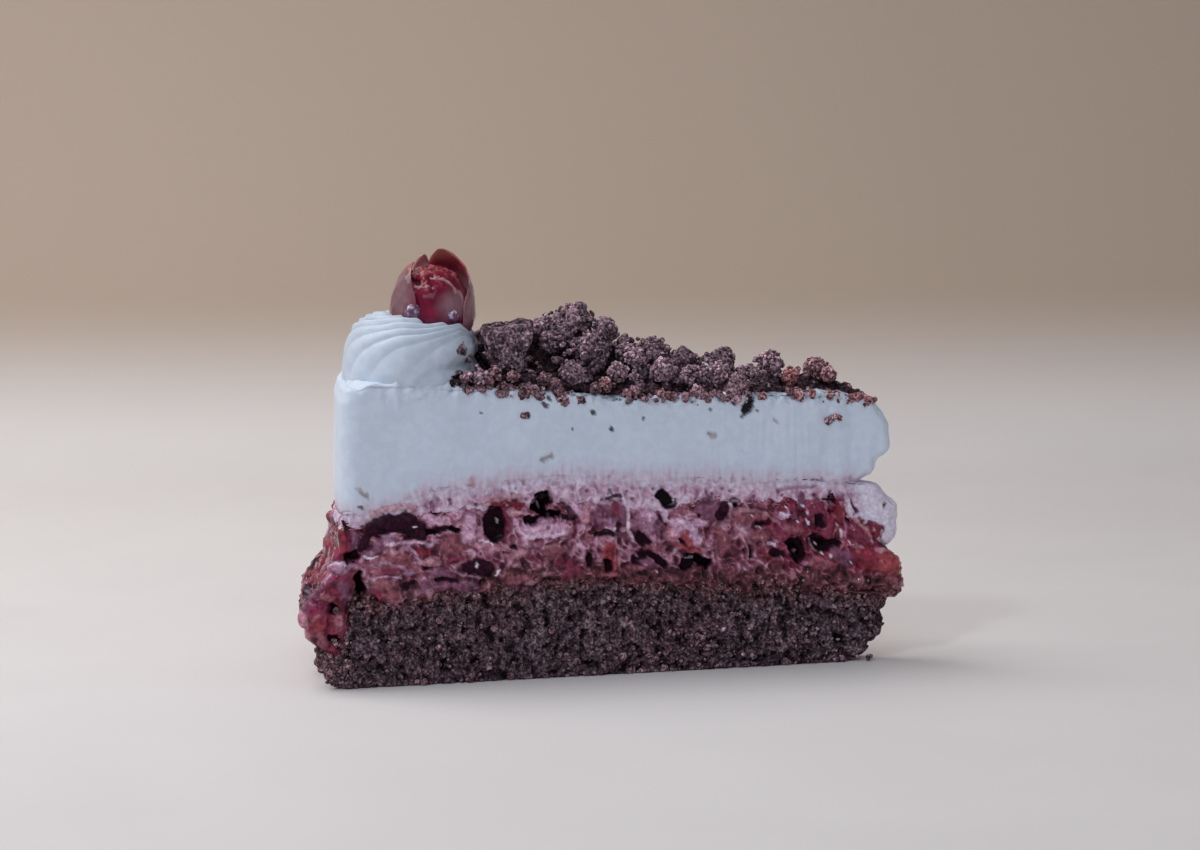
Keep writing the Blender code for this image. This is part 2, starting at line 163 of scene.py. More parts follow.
def folds(points):
    """Height of the soft ridges that wind through wet flesh, and how near each point is to a thin crest."""
    bend = bends(points, 2.6, (5.1, 23.4, 71.8))
    broad = np.abs(swells((points + 1.5 * bend) / 2.5))
    fine = np.abs(swells((points + 1.2 * bend) / 1.05 + 31))
    return 1 - 2.4 * (0.68 * broad + 0.32 * fine), ease(0.08, 0.0, broad)


def ease(low, high, x):
    """0 below low, 1 above high, and an even rise between. low may be the larger one."""
    share = np.clip((x - low) / (high - low), 0, 1)
    return share * share * (3 - 2 * share)


def read(profile, x):
    """The profile's value at x, rising evenly from point to point and level past its ends."""
    stops, values = np.array(profile, float).T
    index = np.clip(np.searchsorted(stops, x) - 1, 0, len(stops) - 2)
    share = ease(0, 1, (x - stops[index]) / (stops[index + 1] - stops[index]))
    return values[index] + (values[index + 1] - values[index]) * share


def tones(value, *stops):
    """Colours for values, from (value, colour) stops."""
    at = [stop for stop, _ in stops]
    return np.stack([np.interp(value, at, [colour[i] for _, colour in stops]) for i in range(3)], -1)


def over(under, colour, share):
    """One colour laid over another, as far as share says."""
    return under + (np.asarray(colour) - under) * np.asarray(share)[:, None]


def from_route(route, spots):
    """How far each spot lies from a line of points, which may be a single one, and how far above it."""
    away, above = np.full(len(spots), np.inf), np.zeros(len(spots))
    ends = np.concatenate([route, route[-1:]])
    for start, end in zip(ends, ends[1:]):
        step = end - start
        share = np.clip((spots - start) @ step / max(step @ step, 1e-9), 0, 1)
        offset = spots - start - share[:, None] * step
        length = np.linalg.norm(offset, axis=1)
        above = np.where(length < away, offset[:, 1], above)
        away = np.minimum(away, length)
    return away, above


# ---------------------------------------------------------------- plan of the wedge


def apex_distance(x, y):
    """How far a place lies from the apex, in plan."""
    return np.hypot(APEX_X - x, y)


def wedge_point(distance, across, width, start, bow):
    """Place in plan at this distance from the apex, across from -1 (front face) to 1 (back face)."""
    angle = across * HALF_ANGLE
    straight = distance * math.tan(HALF_ANGLE)
    x = APEX_X - distance * np.cos(angle)
    x += bow * (1 - across**2) * np.exp(-(distance - start) / TIP_BOW_LENGTH)
    return x, distance * np.sin(angle) + across * (np.hypot(straight, width) - straight)


def front_y(x, width=CREAM_TIP_WIDTH):
    """The front cut face, in plan."""
    return -np.hypot((APEX_X - x) * math.tan(HALF_ANGLE), width)


def sponge_high(x, y):
    """Height where the sponge ends and the filling begins."""
    return read(SPONGE_TOP, apex_distance(x, y))


def filling_high(x, y):
    """Height where the filling ends and the stained cream begins."""
    return read(FILLING_TOP, apex_distance(x, y))


def stained_high(x, y):
    """Height where the stained cream ends and the white cream begins."""
    return read(STAINED_TOP, apex_distance(x, y))


def cream_high(x, y):
    """Height of the white cream's top, which is a little higher along its middle."""
    distance = apex_distance(x, y)
    across = y / (distance * math.sin(HALF_ANGLE))
    return read(CREAM_TOP, distance) + CREAM_CROWN * np.clip(1 - across**2, 0, 1)


# ---------------------------------------------------------------- meshes


def paint_points(mesh, colour, gloss):
    """Stores each point's colour and gloss on the mesh, where its material reads them."""
    opaque = np.concatenate([np.clip(colour, 0, 1), np.ones((len(colour), 1))], axis=1)
    stored = mesh.attributes.new("paint", "FLOAT_COLOR", "POINT")
    stored.data.foreach_set("color", opaque.astype(np.float32).ravel())
    stored = mesh.attributes.new("gloss", "FLOAT", "POINT")
    stored.data.foreach_set("value", np.asarray(gloss, np.float32))


def make_piece(name, shape, look, slot, *nodes):
    """An object that rides on the cake and may stand for solids.

    shape is its (points in millimetres, faces, paint), and paint the (colour, gloss) of each point.
    """
    points, faces, paint = shape
    mesh = bpy.data.meshes.new(name)
    mesh.from_pydata((points * MM).tolist(), [], faces)
    paint_points(mesh, *paint)
    mesh.shade_smooth()
    mesh.materials.append(look)
    piece = bpy.data.objects.new(name, mesh)
    bpy.context.scene.collection.objects.link(piece)
    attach(piece, BODY)
    if nodes:
        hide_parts(*nodes)


def closed_faces(rows, columns):
    """Faces of a skin of rings, closed by a point below (second last) and one above (last)."""
    row, column = np.mgrid[0 : rows - 1, 0:columns]
    here = row * columns + column
    beside = row * columns + (column + 1) % columns
    quads = np.stack([here, here + columns, beside + columns, beside], -1).reshape(-1, 4)
    ring = np.arange(columns)
    following = (ring + 1) % columns
    below = np.stack([np.full(columns, rows * columns), ring, following], -1)
    last = (rows - 1) * columns
    above = np.stack([last + ring, np.full(columns, rows * columns + 1), last + following], -1)
    return quads.tolist() + below.tolist() + above.tolist()


def outward(grid):
    """Unit normals of a skin of rings that run clockwise as seen from above, lowest ring first."""
    around = np.roll(grid, -1, axis=1) - np.roll(grid, 1, axis=1)
    up = np.gradient(grid, axis=0)
    normal = np.cross(up, around)
    return normal / np.maximum(np.linalg.norm(normal, axis=2, keepdims=True), 1e-9)


def finish_rings(grid, relief):
    """Points, faces and paint of a skin of rings, displaced by its relief and closed by two poles."""
    rows, columns = grid.shape[:2]
    normal = outward(grid).reshape(-1, 3)
    points = grid.reshape(-1, 3) + normal * relief.height[:, None]
    poles = np.stack([points[:columns].mean(axis=0), points[-columns:].mean(axis=0)])
    colour = np.concatenate([relief.colour, relief.colour[[0, -1]]])
    gloss = np.concatenate([relief.gloss, relief.gloss[[0, -1]]])
    return np.concatenate([points, poles]), closed_faces(rows, columns), (colour, gloss)


def joined(*shapes):
    """One (points, faces, paint) of several."""
    points, faces, colours, glosses = [], [], [], []
    count = 0
    for more_points, more_faces, (colour, gloss) in shapes:
        faces += [tuple(corner + count for corner in face) for face in more_faces]
        count += len(more_points)
        points.append(more_points)
        colours.append(colour)
        glosses.append(gloss)
    return np.concatenate(points), faces, (np.concatenate(colours), np.concatenate(glosses))


# ---------------------------------------------------------------- layers


def loop_columns(front_step, back_step, run=False):
    """(along, across) once round a layer: front face from the tip, rim, back face, round the tip.

    A run over the rim takes up the last stretch of along, in steps of the same size.
    """

    def face(step):
        """along of a cut face, from the tip to the rim."""
        even = np.linspace(0, 1, round(LAYER_LENGTH / step), endpoint=False)
        if not run:
            return even
        over_rim = np.linspace(RUN_SHARE, 1, round(RUN_LENGTH / step), endpoint=False)
        return np.concatenate([even * RUN_SHARE, over_rim])

    front, back = face(front_step), face(back_step)
    rim = np.linspace(-1, 1, round(RIM_LENGTH / back_step), endpoint=False)
    tip = np.linspace(1, -1, round(TIP_LENGTH / front_step), endpoint=False)
    along = np.concatenate([front, np.ones(len(rim)), 1 - back, np.zeros(len(tip))])
    across = np.concatenate([-np.ones(len(front)), rim, np.ones(len(back)), tip])
    return along, across


def rounded(along, across, radius):
    """The loop's places with its two upright rim corners rounded to this radius."""

    def arc(distance):
        """How far a place slides along its side and is drawn in from it."""
        angle = (1 - np.clip(distance / radius, 0, 1)) * math.pi / 4
        return radius * (1 - np.sin(angle)), radius * (1 - np.cos(angle))

    on_face, on_rim = np.abs(across) == 1, along == 1
    to_rim, to_face = (1 - along) * LAYER_LENGTH, (1 - np.abs(across)) * RIM_LENGTH / 2
    slid, drawn = arc(np.where(on_face, to_rim, to_face))
    bent = np.where(on_face, to_rim, to_face) < radius
    new_along = np.where(on_face, 1 - slid / LAYER_LENGTH, 1 - drawn / LAYER_LENGTH)
    new_across = np.sign(across) * np.where(on_face, 1 - 2 * drawn / RIM_LENGTH, 1 - 2 * slid / RIM_LENGTH)
    bent &= on_face | on_rim
    return np.where(bent, new_along, along), np.where(bent, new_across, across)


def layer_skin(columns, rows, tip, width, distance_of, low, high, edge, corner, rings=(0.05, 0.3, 0.9)):
    """Rings of a closed layer: from the middle of its underside out, up its wall, and back in on top.

    columns are the places round the layer, and rows the rings up its wall. tip is the outline of its tip
    and width the bluntness. distance_of places a point between the tip and the rim, low and high are the
    heights of its sides, and rings says how far in the rings above and below lie. edge and corner are the
    radii that its long edges and its upright rim corners are rounded to.
    """
    along, across = columns
    shrink = np.concatenate([rings[::-1], np.zeros(rows), rings])[:, None]
    w = np.concatenate([np.zeros(len(rings)), np.linspace(0, 1, rows), np.ones(len(rings))])[:, None]
    along, across = rounded(along, across, corner)
    along = SKIN_CENTRE + (along - SKIN_CENTRE) * (1 - shrink)
    across = across * (1 - shrink)
    start = read(tip, w)
    bow = TIP_BOW * np.hypot(start * math.tan(HALF_ANGLE), width)
    start = start + bow
    distance = distance_of(along, across, w, start)
    x, y = wedge_point(distance, across, width, start, bow)
    bottom = low(x, y, along)
    z = bottom + (high(x, y) - bottom) * w
    grid = np.stack([x, y, z], -1)
    first, last = len(rings), len(rings) + rows - 1
    normal = outward(grid)
    below = 1 - np.clip((grid[last, :, 2] - grid[first : last + 1, :, 2]) / edge, 0, 1)
    grid[first : last + 1] -= normal[first : last + 1] * (ROUND * edge * below**2)[..., None]
    inward = np.linalg.norm(grid[last:, :, :2] - grid[last, :, :2], axis=2)
    grid[last:, :, 2] -= ROUND * edge * (1 - np.clip(inward / edge, 0, 1)) ** 2
    return grid


def finish_layer(name, grid, relief_of, look, slot, node, flat_base=False):
    """Works the relief over a layer's rings and makes the piece."""
    points = grid.reshape(-1, 3)
    points, faces, paint = finish_rings(grid, relief_of(points, place_along(points)))
    if flat_base:
        points[:, 2] = np.maximum(points[:, 2], 0)
    make_piece(name, (points, faces, paint), look, slot, node)


RIM_X = APEX_X - RUN_INNER * math.cos(HALF_ANGLE)
RIM_DEPTH = 0.8
RIM_SHARE = 0.985  # share of the way across that is rim, and not the corner of a cut face


def place_along(points):
    """Place on the unrolled wall: x on the front face, and on past the rim along the rim and back."""
    x, y, _ = points.T
    across = y / (apex_distance(x, y) * math.sin(HALF_ANGLE))
    on_rim = RIM_X + across * (apex_distance(x, y) - RUN_INNER) - RIM_LENGTH * (across + 1) / 2
    on_back = RIM_X - RIM_LENGTH - (x - RIM_X)
    outer = apex_distance(x, y) > RUN_INNER - RIM_DEPTH
    place = np.where(across < 0, x, on_back)
    return np.where(outer & (np.abs(across) < RIM_SHARE), on_rim, place)


# ---------------------------------------------------------------- materials


NOISE_DISTORTION = 0.4


class Look:
    """A material under construction. Sizes are in millimetres."""

    def __init__(self, name, **values):
        self.material = bpy.data.materials.new(name)
        self.material.use_nodes = True
        self.tree = self.material.node_tree
        self.shader = self.tree.nodes["Principled BSDF"]
        self.place = self.tree.nodes.new("ShaderNodeTexCoord").outputs["Object"]
        self.set(**values)

    def set(self, **values):
        """Sets or links inputs of the shader, with _ for a space."""
        for name, value in values.items():
            self.feed(self.shader.inputs[name.replace("_", " ")], value)

    def feed(self, socket, value):
        """Links a socket to an output, or sets its value."""
        if isinstance(value, bpy.types.NodeSocket):
            self.tree.links.new(value, socket)
        elif socket.type == "RGBA":
            socket.default_value = (*value, 1.0)
        else:
            socket.default_value = value

    def add(self, kind, inputs, **settings):
        """A new node with its inputs fed and its settings made."""
        node = self.tree.nodes.new("ShaderNode" + kind)
        for name, value in settings.items():
            setattr(node, name, value)
        for key, value in inputs.items():
            self.feed(node.inputs[key], value)
        return node

    def noise(self, size, detail=2.0):
        """Random values, mostly from 0.3 to 0.7, in swells of this size."""
        inputs = {"Vector": self.place, "Scale": 1000 / size}
        inputs |= {"Detail": detail, "Distortion": NOISE_DISTORTION}
        return self.add("TexNoise", inputs).outputs["Fac"]

    def span(self, value, low, high, to_low=0.0, to_high=1.0):
        """A smooth rise from to_low to to_high while the value goes from low to high."""
        inputs = {"Value": value, "From Min": low, "From Max": high, "To Min": to_low, "To Max": to_high}
        return self.add("MapRange", inputs, interpolation_type="SMOOTHSTEP").outputs["Result"]

    def mix(self, share, a, b, kind="MIX"):
        """Colour b laid over colour a, as far as share says."""
        node = self.add("Mix", {0: share, 6: a, 7: b}, data_type="RGBA", blend_type=kind)
        return node.outputs[2]

    def bump(self, *layers):
        """Bumps as (height value, depth in millimetres), the broadest first."""
        normal = None
        for value, depth in layers:
            inputs = {"Height": value, "Distance": depth * MM, "Strength": 1.0}
            if normal is not None:
                inputs["Normal"] = normal
            normal = self.add("Bump", inputs).outputs["Normal"]
        self.set(Normal=normal)

    def clear_from_behind(self):
        """Makes the surface see-through from its back."""
        behind = self.add("NewGeometry", {}).outputs["Backfacing"]
        clear = self.add("BsdfTransparent", {}).outputs["BSDF"]
        mixed = self.add("MixShader", {0: behind, 1: self.shader.outputs["BSDF"], 2: clear})
        self.feed(self.tree.nodes["Material Output"].inputs["Surface"], mixed.outputs[0])


WET_ROUGHNESS = 0.14
FILM_ROUGHNESS, FILM_IOR = 0.06, 1.35  # the clear film over wet places
LIGHT_REACH = 1.6


def painted_look(name, size, darkest, lightest, depth, dull,
                 shine=0.1, coat=0.4, wear=0.3, soft=0.0, bleed=(1.0, 0.9, 0.85)):
    """A material that takes colour and gloss from the mesh.

    size, darkest, lightest and depth describe the grain, of which wear is left where the surface is
    glossy. dull is the roughness without gloss, shine the mirror share, and coat the wet film of full
    gloss. soft is how much light passes under the surface, and bleed how far, for red, green and blue.
    """
    look = Look(name, Specular_IOR_Level=shine, Coat_Roughness=FILM_ROUGHNESS, Coat_IOR=FILM_IOR)
    if soft:
        look.set(Subsurface_Weight=soft, Subsurface_Radius=bleed, Subsurface_Scale=LIGHT_REACH * MM)
    paint = look.add("Attribute", {}, attribute_name="paint").outputs["Color"]
    gloss = look.add("Attribute", {}, attribute_name="gloss").outputs["Fac"]
    grain = look.noise(size, detail=3.0)
    # The grain is painted lighter where its bump rises and darker where it sinks: painted light and shade.
    shade = look.span(grain, 0.36, 0.66, darkest, lightest)
    shade = look.add("CombineColor", {0: shade, 1: shade, 2: shade}).outputs[0]
    grained = look.mix(1.0, paint, shade, "MULTIPLY")
    look.set(Base_Color=look.mix(look.span(gloss, 0.0, 1.0, 0.0, 1.0 - wear), grained, paint))
    look.set(Roughness=look.span(gloss, 0.0, 1.0, dull, WET_ROUGHNESS))
    look.set(Coat_Weight=look.span(gloss, 0.4, 1.0, 0.0, coat))
    look.bump((grain, depth), (look.noise(size / 3), depth / 3))
    return look.material


# ---------------------------------------------------------------- paint and relief

CREAM_WHITE, CREAM_SHADE = (0.690, 0.780, 0.910), (0.650, 0.735, 0.865)

# What lies on a surface, as (darkest tone, lightest tone, gloss from 0 to 1). Some of it is painted
# light and shade: glint is painted highlights, pale is lips of cream and painted highlights on wet fruit,
# black is painted shade in hollows, dark is dark glossy fruit and painted shade in hollows, sheen and veil
# are painted sheen on the cherry's skin, and stain is grey marks with painted shade in shallow pits.
PAINTS = {
    "black": ((0.002, 0.001, 0.003), (0.012, 0.004, 0.010), 0.0),
    "dark": ((0.003, 0.001, 0.004), (0.046, 0.012, 0.027), 0.5),
    "wine": ((0.040, 0.003, 0.012), (0.300, 0.045, 0.100), 1.0),
    "red": ((0.060, 0.003, 0.010), (0.330, 0.035, 0.062), 0.9),
    "orange": ((0.170, 0.022, 0.034), (0.460, 0.110, 0.112), 0.8),
    "brown": ((0.050, 0.010, 0.018), (0.400, 0.150, 0.180), 0.7),
    "tan": ((0.240, 0.090, 0.110), (0.600, 0.360, 0.400), 0.6),
    "plum": ((0.040, 0.010, 0.024), (0.300, 0.130, 0.210), 0.8),
    "mauve": ((0.170, 0.075, 0.130), (0.560, 0.360, 0.470), 0.5),
    "peach": ((0.300, 0.120, 0.160), (0.700, 0.420, 0.480), 0.4),
    "pink": ((0.380, 0.210, 0.310), (0.820, 0.600, 0.740), 0.3),
    "pale": ((0.500, 0.380, 0.500), (0.920, 0.780, 0.900), 0.5),
    "sheen": ((0.130, 0.050, 0.066), (0.270, 0.145, 0.168), 1.0),
    "pale_sheen": ((0.300, 0.150, 0.180), (0.640, 0.450, 0.490), 1.0),
    "glint": ((0.800, 0.780, 0.900), (1.000, 1.000, 1.000), 1.0),
    "stain": ((0.300, 0.250, 0.270), (0.560, 0.540, 0.580), 0.1),
    "cream": (None, None, None),  # bends the surface and leaves its colour
}
EDGE_SINK = 0.4  # how far the edge of a stroke lies below the mean surface
THIN = 0.75  # a stroke with a smaller radius than this lies on top of what is there
# Share of a stroke's radius where it begins to blend into what is under it.
SOFT = {
    "black": 0.72, "dark": 0.78, "wine": 0.5, "red": 0.6, "orange": 0.4, "brown": 0.5, "tan": 0.45,
    "plum": 0.5, "mauve": 0.4, "peach": 0.35, "pink": 0.3, "stain": 0.4,
}
SOFT_OTHERS = 0.8


class Relief:
    """Height, colour and gloss over the points of a surface, worked over stroke by stroke."""

    def __init__(self, points, place, height, colour, gloss):
        self.points, self.height = points, height
        self.spots = np.stack([place, points[:, 2]], 1)
        self.colour = np.array(np.broadcast_to(colour, points.shape), float)
        self.gloss = np.array(np.broadcast_to(gloss, place.shape), float)

    def lay(self, strokes, shake=1.0):
        """Lays strokes as (paint, radius, how far it stands out, x, z, x, z, ...), the later ones on top.

        A stroke that stands out is round like a drop or a lip, and one with less than 0 is a hollow.
        """
        starts = (3.7, 51.2)
        bend = 0.45 * bends(self.points, 2.3, starts) + 0.16 * bends(self.points, 0.8, starts)
        spots = self.spots + shake * bend
        fold, crest = folds(self.points)
        for number, (paint, radius, proud, *route) in enumerate(strokes):
            route = np.reshape(route, (-1, 2))
            reach = 1.6 * radius
            inside = (spots > route.min(axis=0) - reach) & (spots < route.max(axis=0) + reach)
            near = np.nonzero(inside.all(axis=1))[0]
            if not len(near):
                continue
            away, above = from_route(route, spots[near])
            away, above = away / radius, above / radius
            if paint == "cream":
                self.height[near] += proud * ease(1.2, 0, away)
                continue
            start = 3.3 * number
            self.lay_one(near, away, above, fold[near], crest[near], paint, radius, proud, start)

    def lay_one(self, near, away, above, fold, crest, paint, radius, proud, start):
        """Lays one stroke on the points near it. away and above are in radii, and start sets its noise."""
        local = self.points[near]
        away = away / (1 + 0.3 * swells(local / (1.2 + radius) + start))
        away += min(0.45 / radius, 0.36) * rough(local / 1.5 + start, 3)
        body = np.sqrt(np.clip(1 - away**2, 0, 1))
        dark, light, gloss = PAINTS[paint]
        thin = radius < THIN
        if proud < 0:
            rise = proud * ease(1, 0.5, away)
        elif thin:
            rise = self.height[near] + 0.6 * radius * body
        else:
            rise = (proud + EDGE_SINK) * body - EDGE_SINK + 0.22 * fold
        cover = ease(1.05, SOFT.get(paint, SOFT_OTHERS), away) * (0.85 if thin else 1.0)
        worn = 0.35 + 0.65 * ease(-0.7, -0.05, rough(local / 1.1 + start, 3))
        if thin or paint in ("dark", "black"):
            worn = 1.0
        # The tone holds painted light and shade: lighter on the ridges of the folds, towards the stroke's
        # upper side, in its middle and along thin crests as painted highlights; darker towards its lower
        # side and edges.
        tone = 0.34 + 0.24 * fold + 0.36 * rough(local / 1.4 + start, 3) + 0.24 * np.clip(above, -1, 1)
        tone += 0.2 * (body - 0.5) + 0.25 * crest
        self.height[near] += cover * (rise - self.height[near])
        self.colour[near] = over(self.colour[near], tones(tone, (0, dark), (1, light)), cover * worn)
        self.gloss[near] += cover * (gloss - self.gloss[near])


# What the knife laid open on the front face, from the rim to the tip, with painted highlights in the glint
# strokes and some pale ones, and painted shade in the hollows.
RIM_STROKES = (
    ("mauve", 1.2, 0.3, -59.5, 40.0, -59.2, 35.5),
    ("wine", 2.2, 0.5, -57.5, 33.0, -56.0, 29.5, -59.0, 29.0),
    ("red", 1.5, 0.8, -56.8, 33.6, -56.2, 29.8),
    ("plum", 1.3, 0.5, -53.6, 33.5, -53.2, 31.0),
    ("glint", 0.22, 0.4, -59.8, 35.0, -56.5, 34.9),
    ("dark", 1.0, -0.8, -53.5, 29.3, -55.5, 28.8),
    ("wine", 2.2, 0.7, -61.0, 24.5, -56.0, 24.2),
    ("mauve", 1.0, 0.6, -61.5, 23.5, -58.5, 24.5),
    ("peach", 0.6, 0.6, -60.6, 23.0, -58.9, 24.3),
    ("plum", 1.4, 0.4, -56.5, 22.5, -55.5, 20.0),
    ("black", 1.0, -1.4, -59.6, 18.2, -57.8, 17.0),
    ("mauve", 1.3, 0.9, -60.0, 26.0, -57.0, 26.4, -54.2, 26.8),
    ("pale", 0.4, 1.0, -58.8, 27.0, -56.0, 27.3),
    ("wine", 3.4, 1.5, -62.4, 18.4, -62.0, 14.5),
    ("brown", 1.0, 1.6, -60.6, 20.6, -59.0, 20.0),
    ("orange", 1.9, 1.7, -61.4, 14.4),
    ("peach", 0.6, 1.8, -62.4, 15.6, -61.2, 16.0),
    ("plum", 0.8, 1.5, -64.6, 17.0, -63.4, 19.6, -61.5, 21.0),
    ("red", 1.3, 1.6, -61.3, 15.2, -63.0, 14.6),
    ("brown", 1.6, 0.6, -57.5, 15.5, -57.0, 13.8),
    ("tan", 0.5, 0.5, -57.2, 16.0, -57.0, 14.2),
    ("dark", 1.2, -1.2, -58.6, 11.2, -57.5, 9.8),
    ("brown", 1.4, 0.4, -61.0, 9.5, -60.8, 11.5),
    ("black", 1.15, -2.4, -53.0, 24.6, -52.3, 22.0, -52.9, 19.6),
    ("brown", 3.2, 0.5, -49.0, 25.5, -44.0, 26.5),
    ("brown", 2.4, 0.3, -48.5, 21.5, -46.0, 20.0),
    ("peach", 1.0, 0.6, -49.5, 38.2, -46.0, 39.2, -41.0, 39.2),
    ("pink", 0.5, 0.7, -44.2, 38.8, -42.0, 38.4),
    ("dark", 2.3, 1.0, -49.5, 34.4, -46.6, 35.9, -42.5, 35.4, -40.3, 34.0),
    ("dark", 1.0, 0.8, -52.0, 31.0, -50.5, 34.2),
    ("dark", 1.0, 0.7, -39.6, 32.8, -36.5, 33.9),
    ("glint", 0.19, 1.0, -41.3, 35.1, -40.8, 34.8),
    ("plum", 1.5, 1.0, -50.2, 29.6, -47.6, 31.6),
    ("mauve", 1.9, 1.3, -46.2, 31.8),
    ("pale", 0.45, 1.6, -47.0, 31.2, -45.6, 31.2),
    ("pink", 0.5, 1.5, -47.3, 33.0, -45.3, 33.5),
    ("mauve", 0.6, 1.2, -52.4, 28.2, -50.4, 29.6),
    ("glint", 0.25, 1.4, -51.8, 28.8, -50.0, 28.2, -49.0, 28.6),
    ("pink", 0.6, 1.2, -44.6, 31.2, -41.0, 31.5, -37.8, 30.7, -36.0, 31.4),
    ("brown", 1.6, 0.7, -46.5, 28.3, -43.5, 28.0),
    ("mauve", 0.5, 0.9, -43.0, 30.6, -41.4, 28.6, -40.2, 27.6),
    ("red", 0.9, 0.9, -40.6, 29.4, -37.9, 29.0),
    ("tan", 1.1, 0.8, -39.3, 26.9, -36.6, 26.6),
    ("mauve", 0.6, 0.6, -41.5, 24.9, -43.0, 24.6),
    ("plum", 1.6, 0.4, -36.5, 24.5, -33.0, 23.8),
    ("pink", 0.4, 0.9, -42.0, 30.6, -40.4, 28.4, -39.0, 26.4),
    ("mauve", 0.5, 0.8, -50.6, 26.6, -47.4, 27.2, -44.0, 26.2, -41.6, 24.6),
    ("pink", 0.35, 0.7, -49.6, 23.6, -46.6, 24.4, -43.8, 23.4),
    ("wine", 0.9, 0.5, -47.4, 25.4, -44.6, 25.4),
    ("tan", 0.5, 0.7, -46.0, 29.4, -43.4, 29.6),
    ("wine", 0.8, 0.4, -49.8, 21.4, -48.4, 19.8),
    ("dark", 0.6, -0.5, -43.6, 22.0, -41.4, 22.4),
    ("plum", 1.3, 0.5, -38.5, 22.2, -34.0, 21.6, -28.5, 21.0),
    ("dark", 0.5, -0.5, -36.4, 23.2, -31.6, 22.6),
    ("wine", 0.9, 0.4, -33.4, 27.0, -30.6, 27.6),
    ("mauve", 0.35, 0.6, -32.4, 24.8, -29.4, 23.4, -26.4, 22.8),
)
LEFT_STROKES = (
    ("pink", 1.3, 0.8, -38.0, 36.4, -36.2, 35.8),
    ("dark", 0.6, -0.9, -38.0, 33.7, -35.5, 33.7, -33.0, 34.3),
    ("dark", 0.9, -1.0, -32.8, 34.0, -31.2, 33.6),
    ("brown", 2.4, 0.6, -34.5, 30.2, -31.0, 30.6),
    ("pink", 1.7, 0.9, -29.2, 32.0, -28.9, 34.0, -29.0, 36.0),
    ("mauve", 0.6, 1.2, -28.0, 37.6, -26.4, 37.0, -25.8, 34.8, -26.3, 32.4),
    ("plum", 0.7, 0.5, -27.3, 36.2, -27.2, 34.8),
    ("pink", 0.5, 1.2, -28.2, 36.0, -28.0, 31.5, -27.4, 30.2),
    ("dark", 2.5, -0.9, -23.8, 33.0, -23.7, 36.6),
    ("glint", 0.19, 1.0, -22.9, 35.4, -22.7, 34.6),
    ("wine", 0.6, 0.5, -21.7, 38.0, -20.9, 35.0, -21.2, 31.8),
    ("peach", 1.0, 0.8, -20.0, 36.9, -17.6, 36.9),
    ("red", 1.0, 0.8, -23.6, 39.2, -20.0, 38.8, -17.8, 38.4),
    ("peach", 0.8, 0.9, -26.5, 39.6, -23.5, 40.5, -18.0, 40.4),
    ("peach", 1.3, 0.8, -26.6, 30.0, -24.0, 29.2, -20.4, 29.4),
    ("glint", 0.25, 1.0, -26.8, 31.0, -24.0, 30.4),
    ("pink", 1.1, 0.9, -18.8, 34.9, -18.4, 33.0),
    ("pink", 2.2, 0.9, -16.6, 32.4, -12.5, 32.6, -9.3, 32.6),
    ("pale", 0.5, 0.9, -17.4, 31.8, -13.0, 31.4, -9.0, 31.8),
    ("black", 2.0, -2.6, -13.9, 37.9, -12.9, 39.3),
    ("dark", 1.0, -1.0, -16.4, 35.2, -14.0, 35.4),
    ("black", 1.2, -1.8, -12.8, 36.4, -10.2, 36.2),
    ("dark", 0.6, -1.0, -9.2, 35.8, -7.5, 35.4, -5.8, 35.2),
    ("mauve", 0.8, 0.3, -13.6, 34.8, -11.4, 34.6),
    ("mauve", 0.35, 0.4, -12.2, 34.4, -11.4, 36.2),
    ("mauve", 0.3, 0.4, -9.4, 34.0, -9.0, 36.5),
    ("pink", 0.7, 0.9, -16.2, 40.4, -15.9, 38.0),
    ("plum", 1.0, 0.4, -15.4, 29.2, -13.4, 28.8),
    ("brown", 2.0, 0.8, -12.0, 27.6, -9.5, 27.8),
    ("tan", 0.5, 0.9, -13.2, 28.7, -10.5, 29.3, -8.3, 28.8),
    ("wine", 0.4, -0.3, -18.4, 26.6, -13.5, 26.8),
    ("dark", 0.45, -0.6, -19.8, 29.6, -19.0, 29.2),
    ("dark", 0.5, -0.6, -21.2, 28.1, -20.9, 27.8),
    ("tan", 1.2, 0.6, -20.5, 27.4, -17.0, 28.2),
    ("dark", 2.1, 0.4, -28.3, 25.6, -25.4, 25.2),
    ("glint", 0.22, 0.8, -27.8, 26.4, -27.7, 25.0),
    ("glint", 0.25, 0.7, -22.9, 24.4, -23.2, 23.2),
    ("brown", 1.7, 0.4, -20.0, 21.6, -17.0, 22.0),
    ("wine", 1.6, 0.6, -9.5, 25.2, -7.0, 24.4),
)
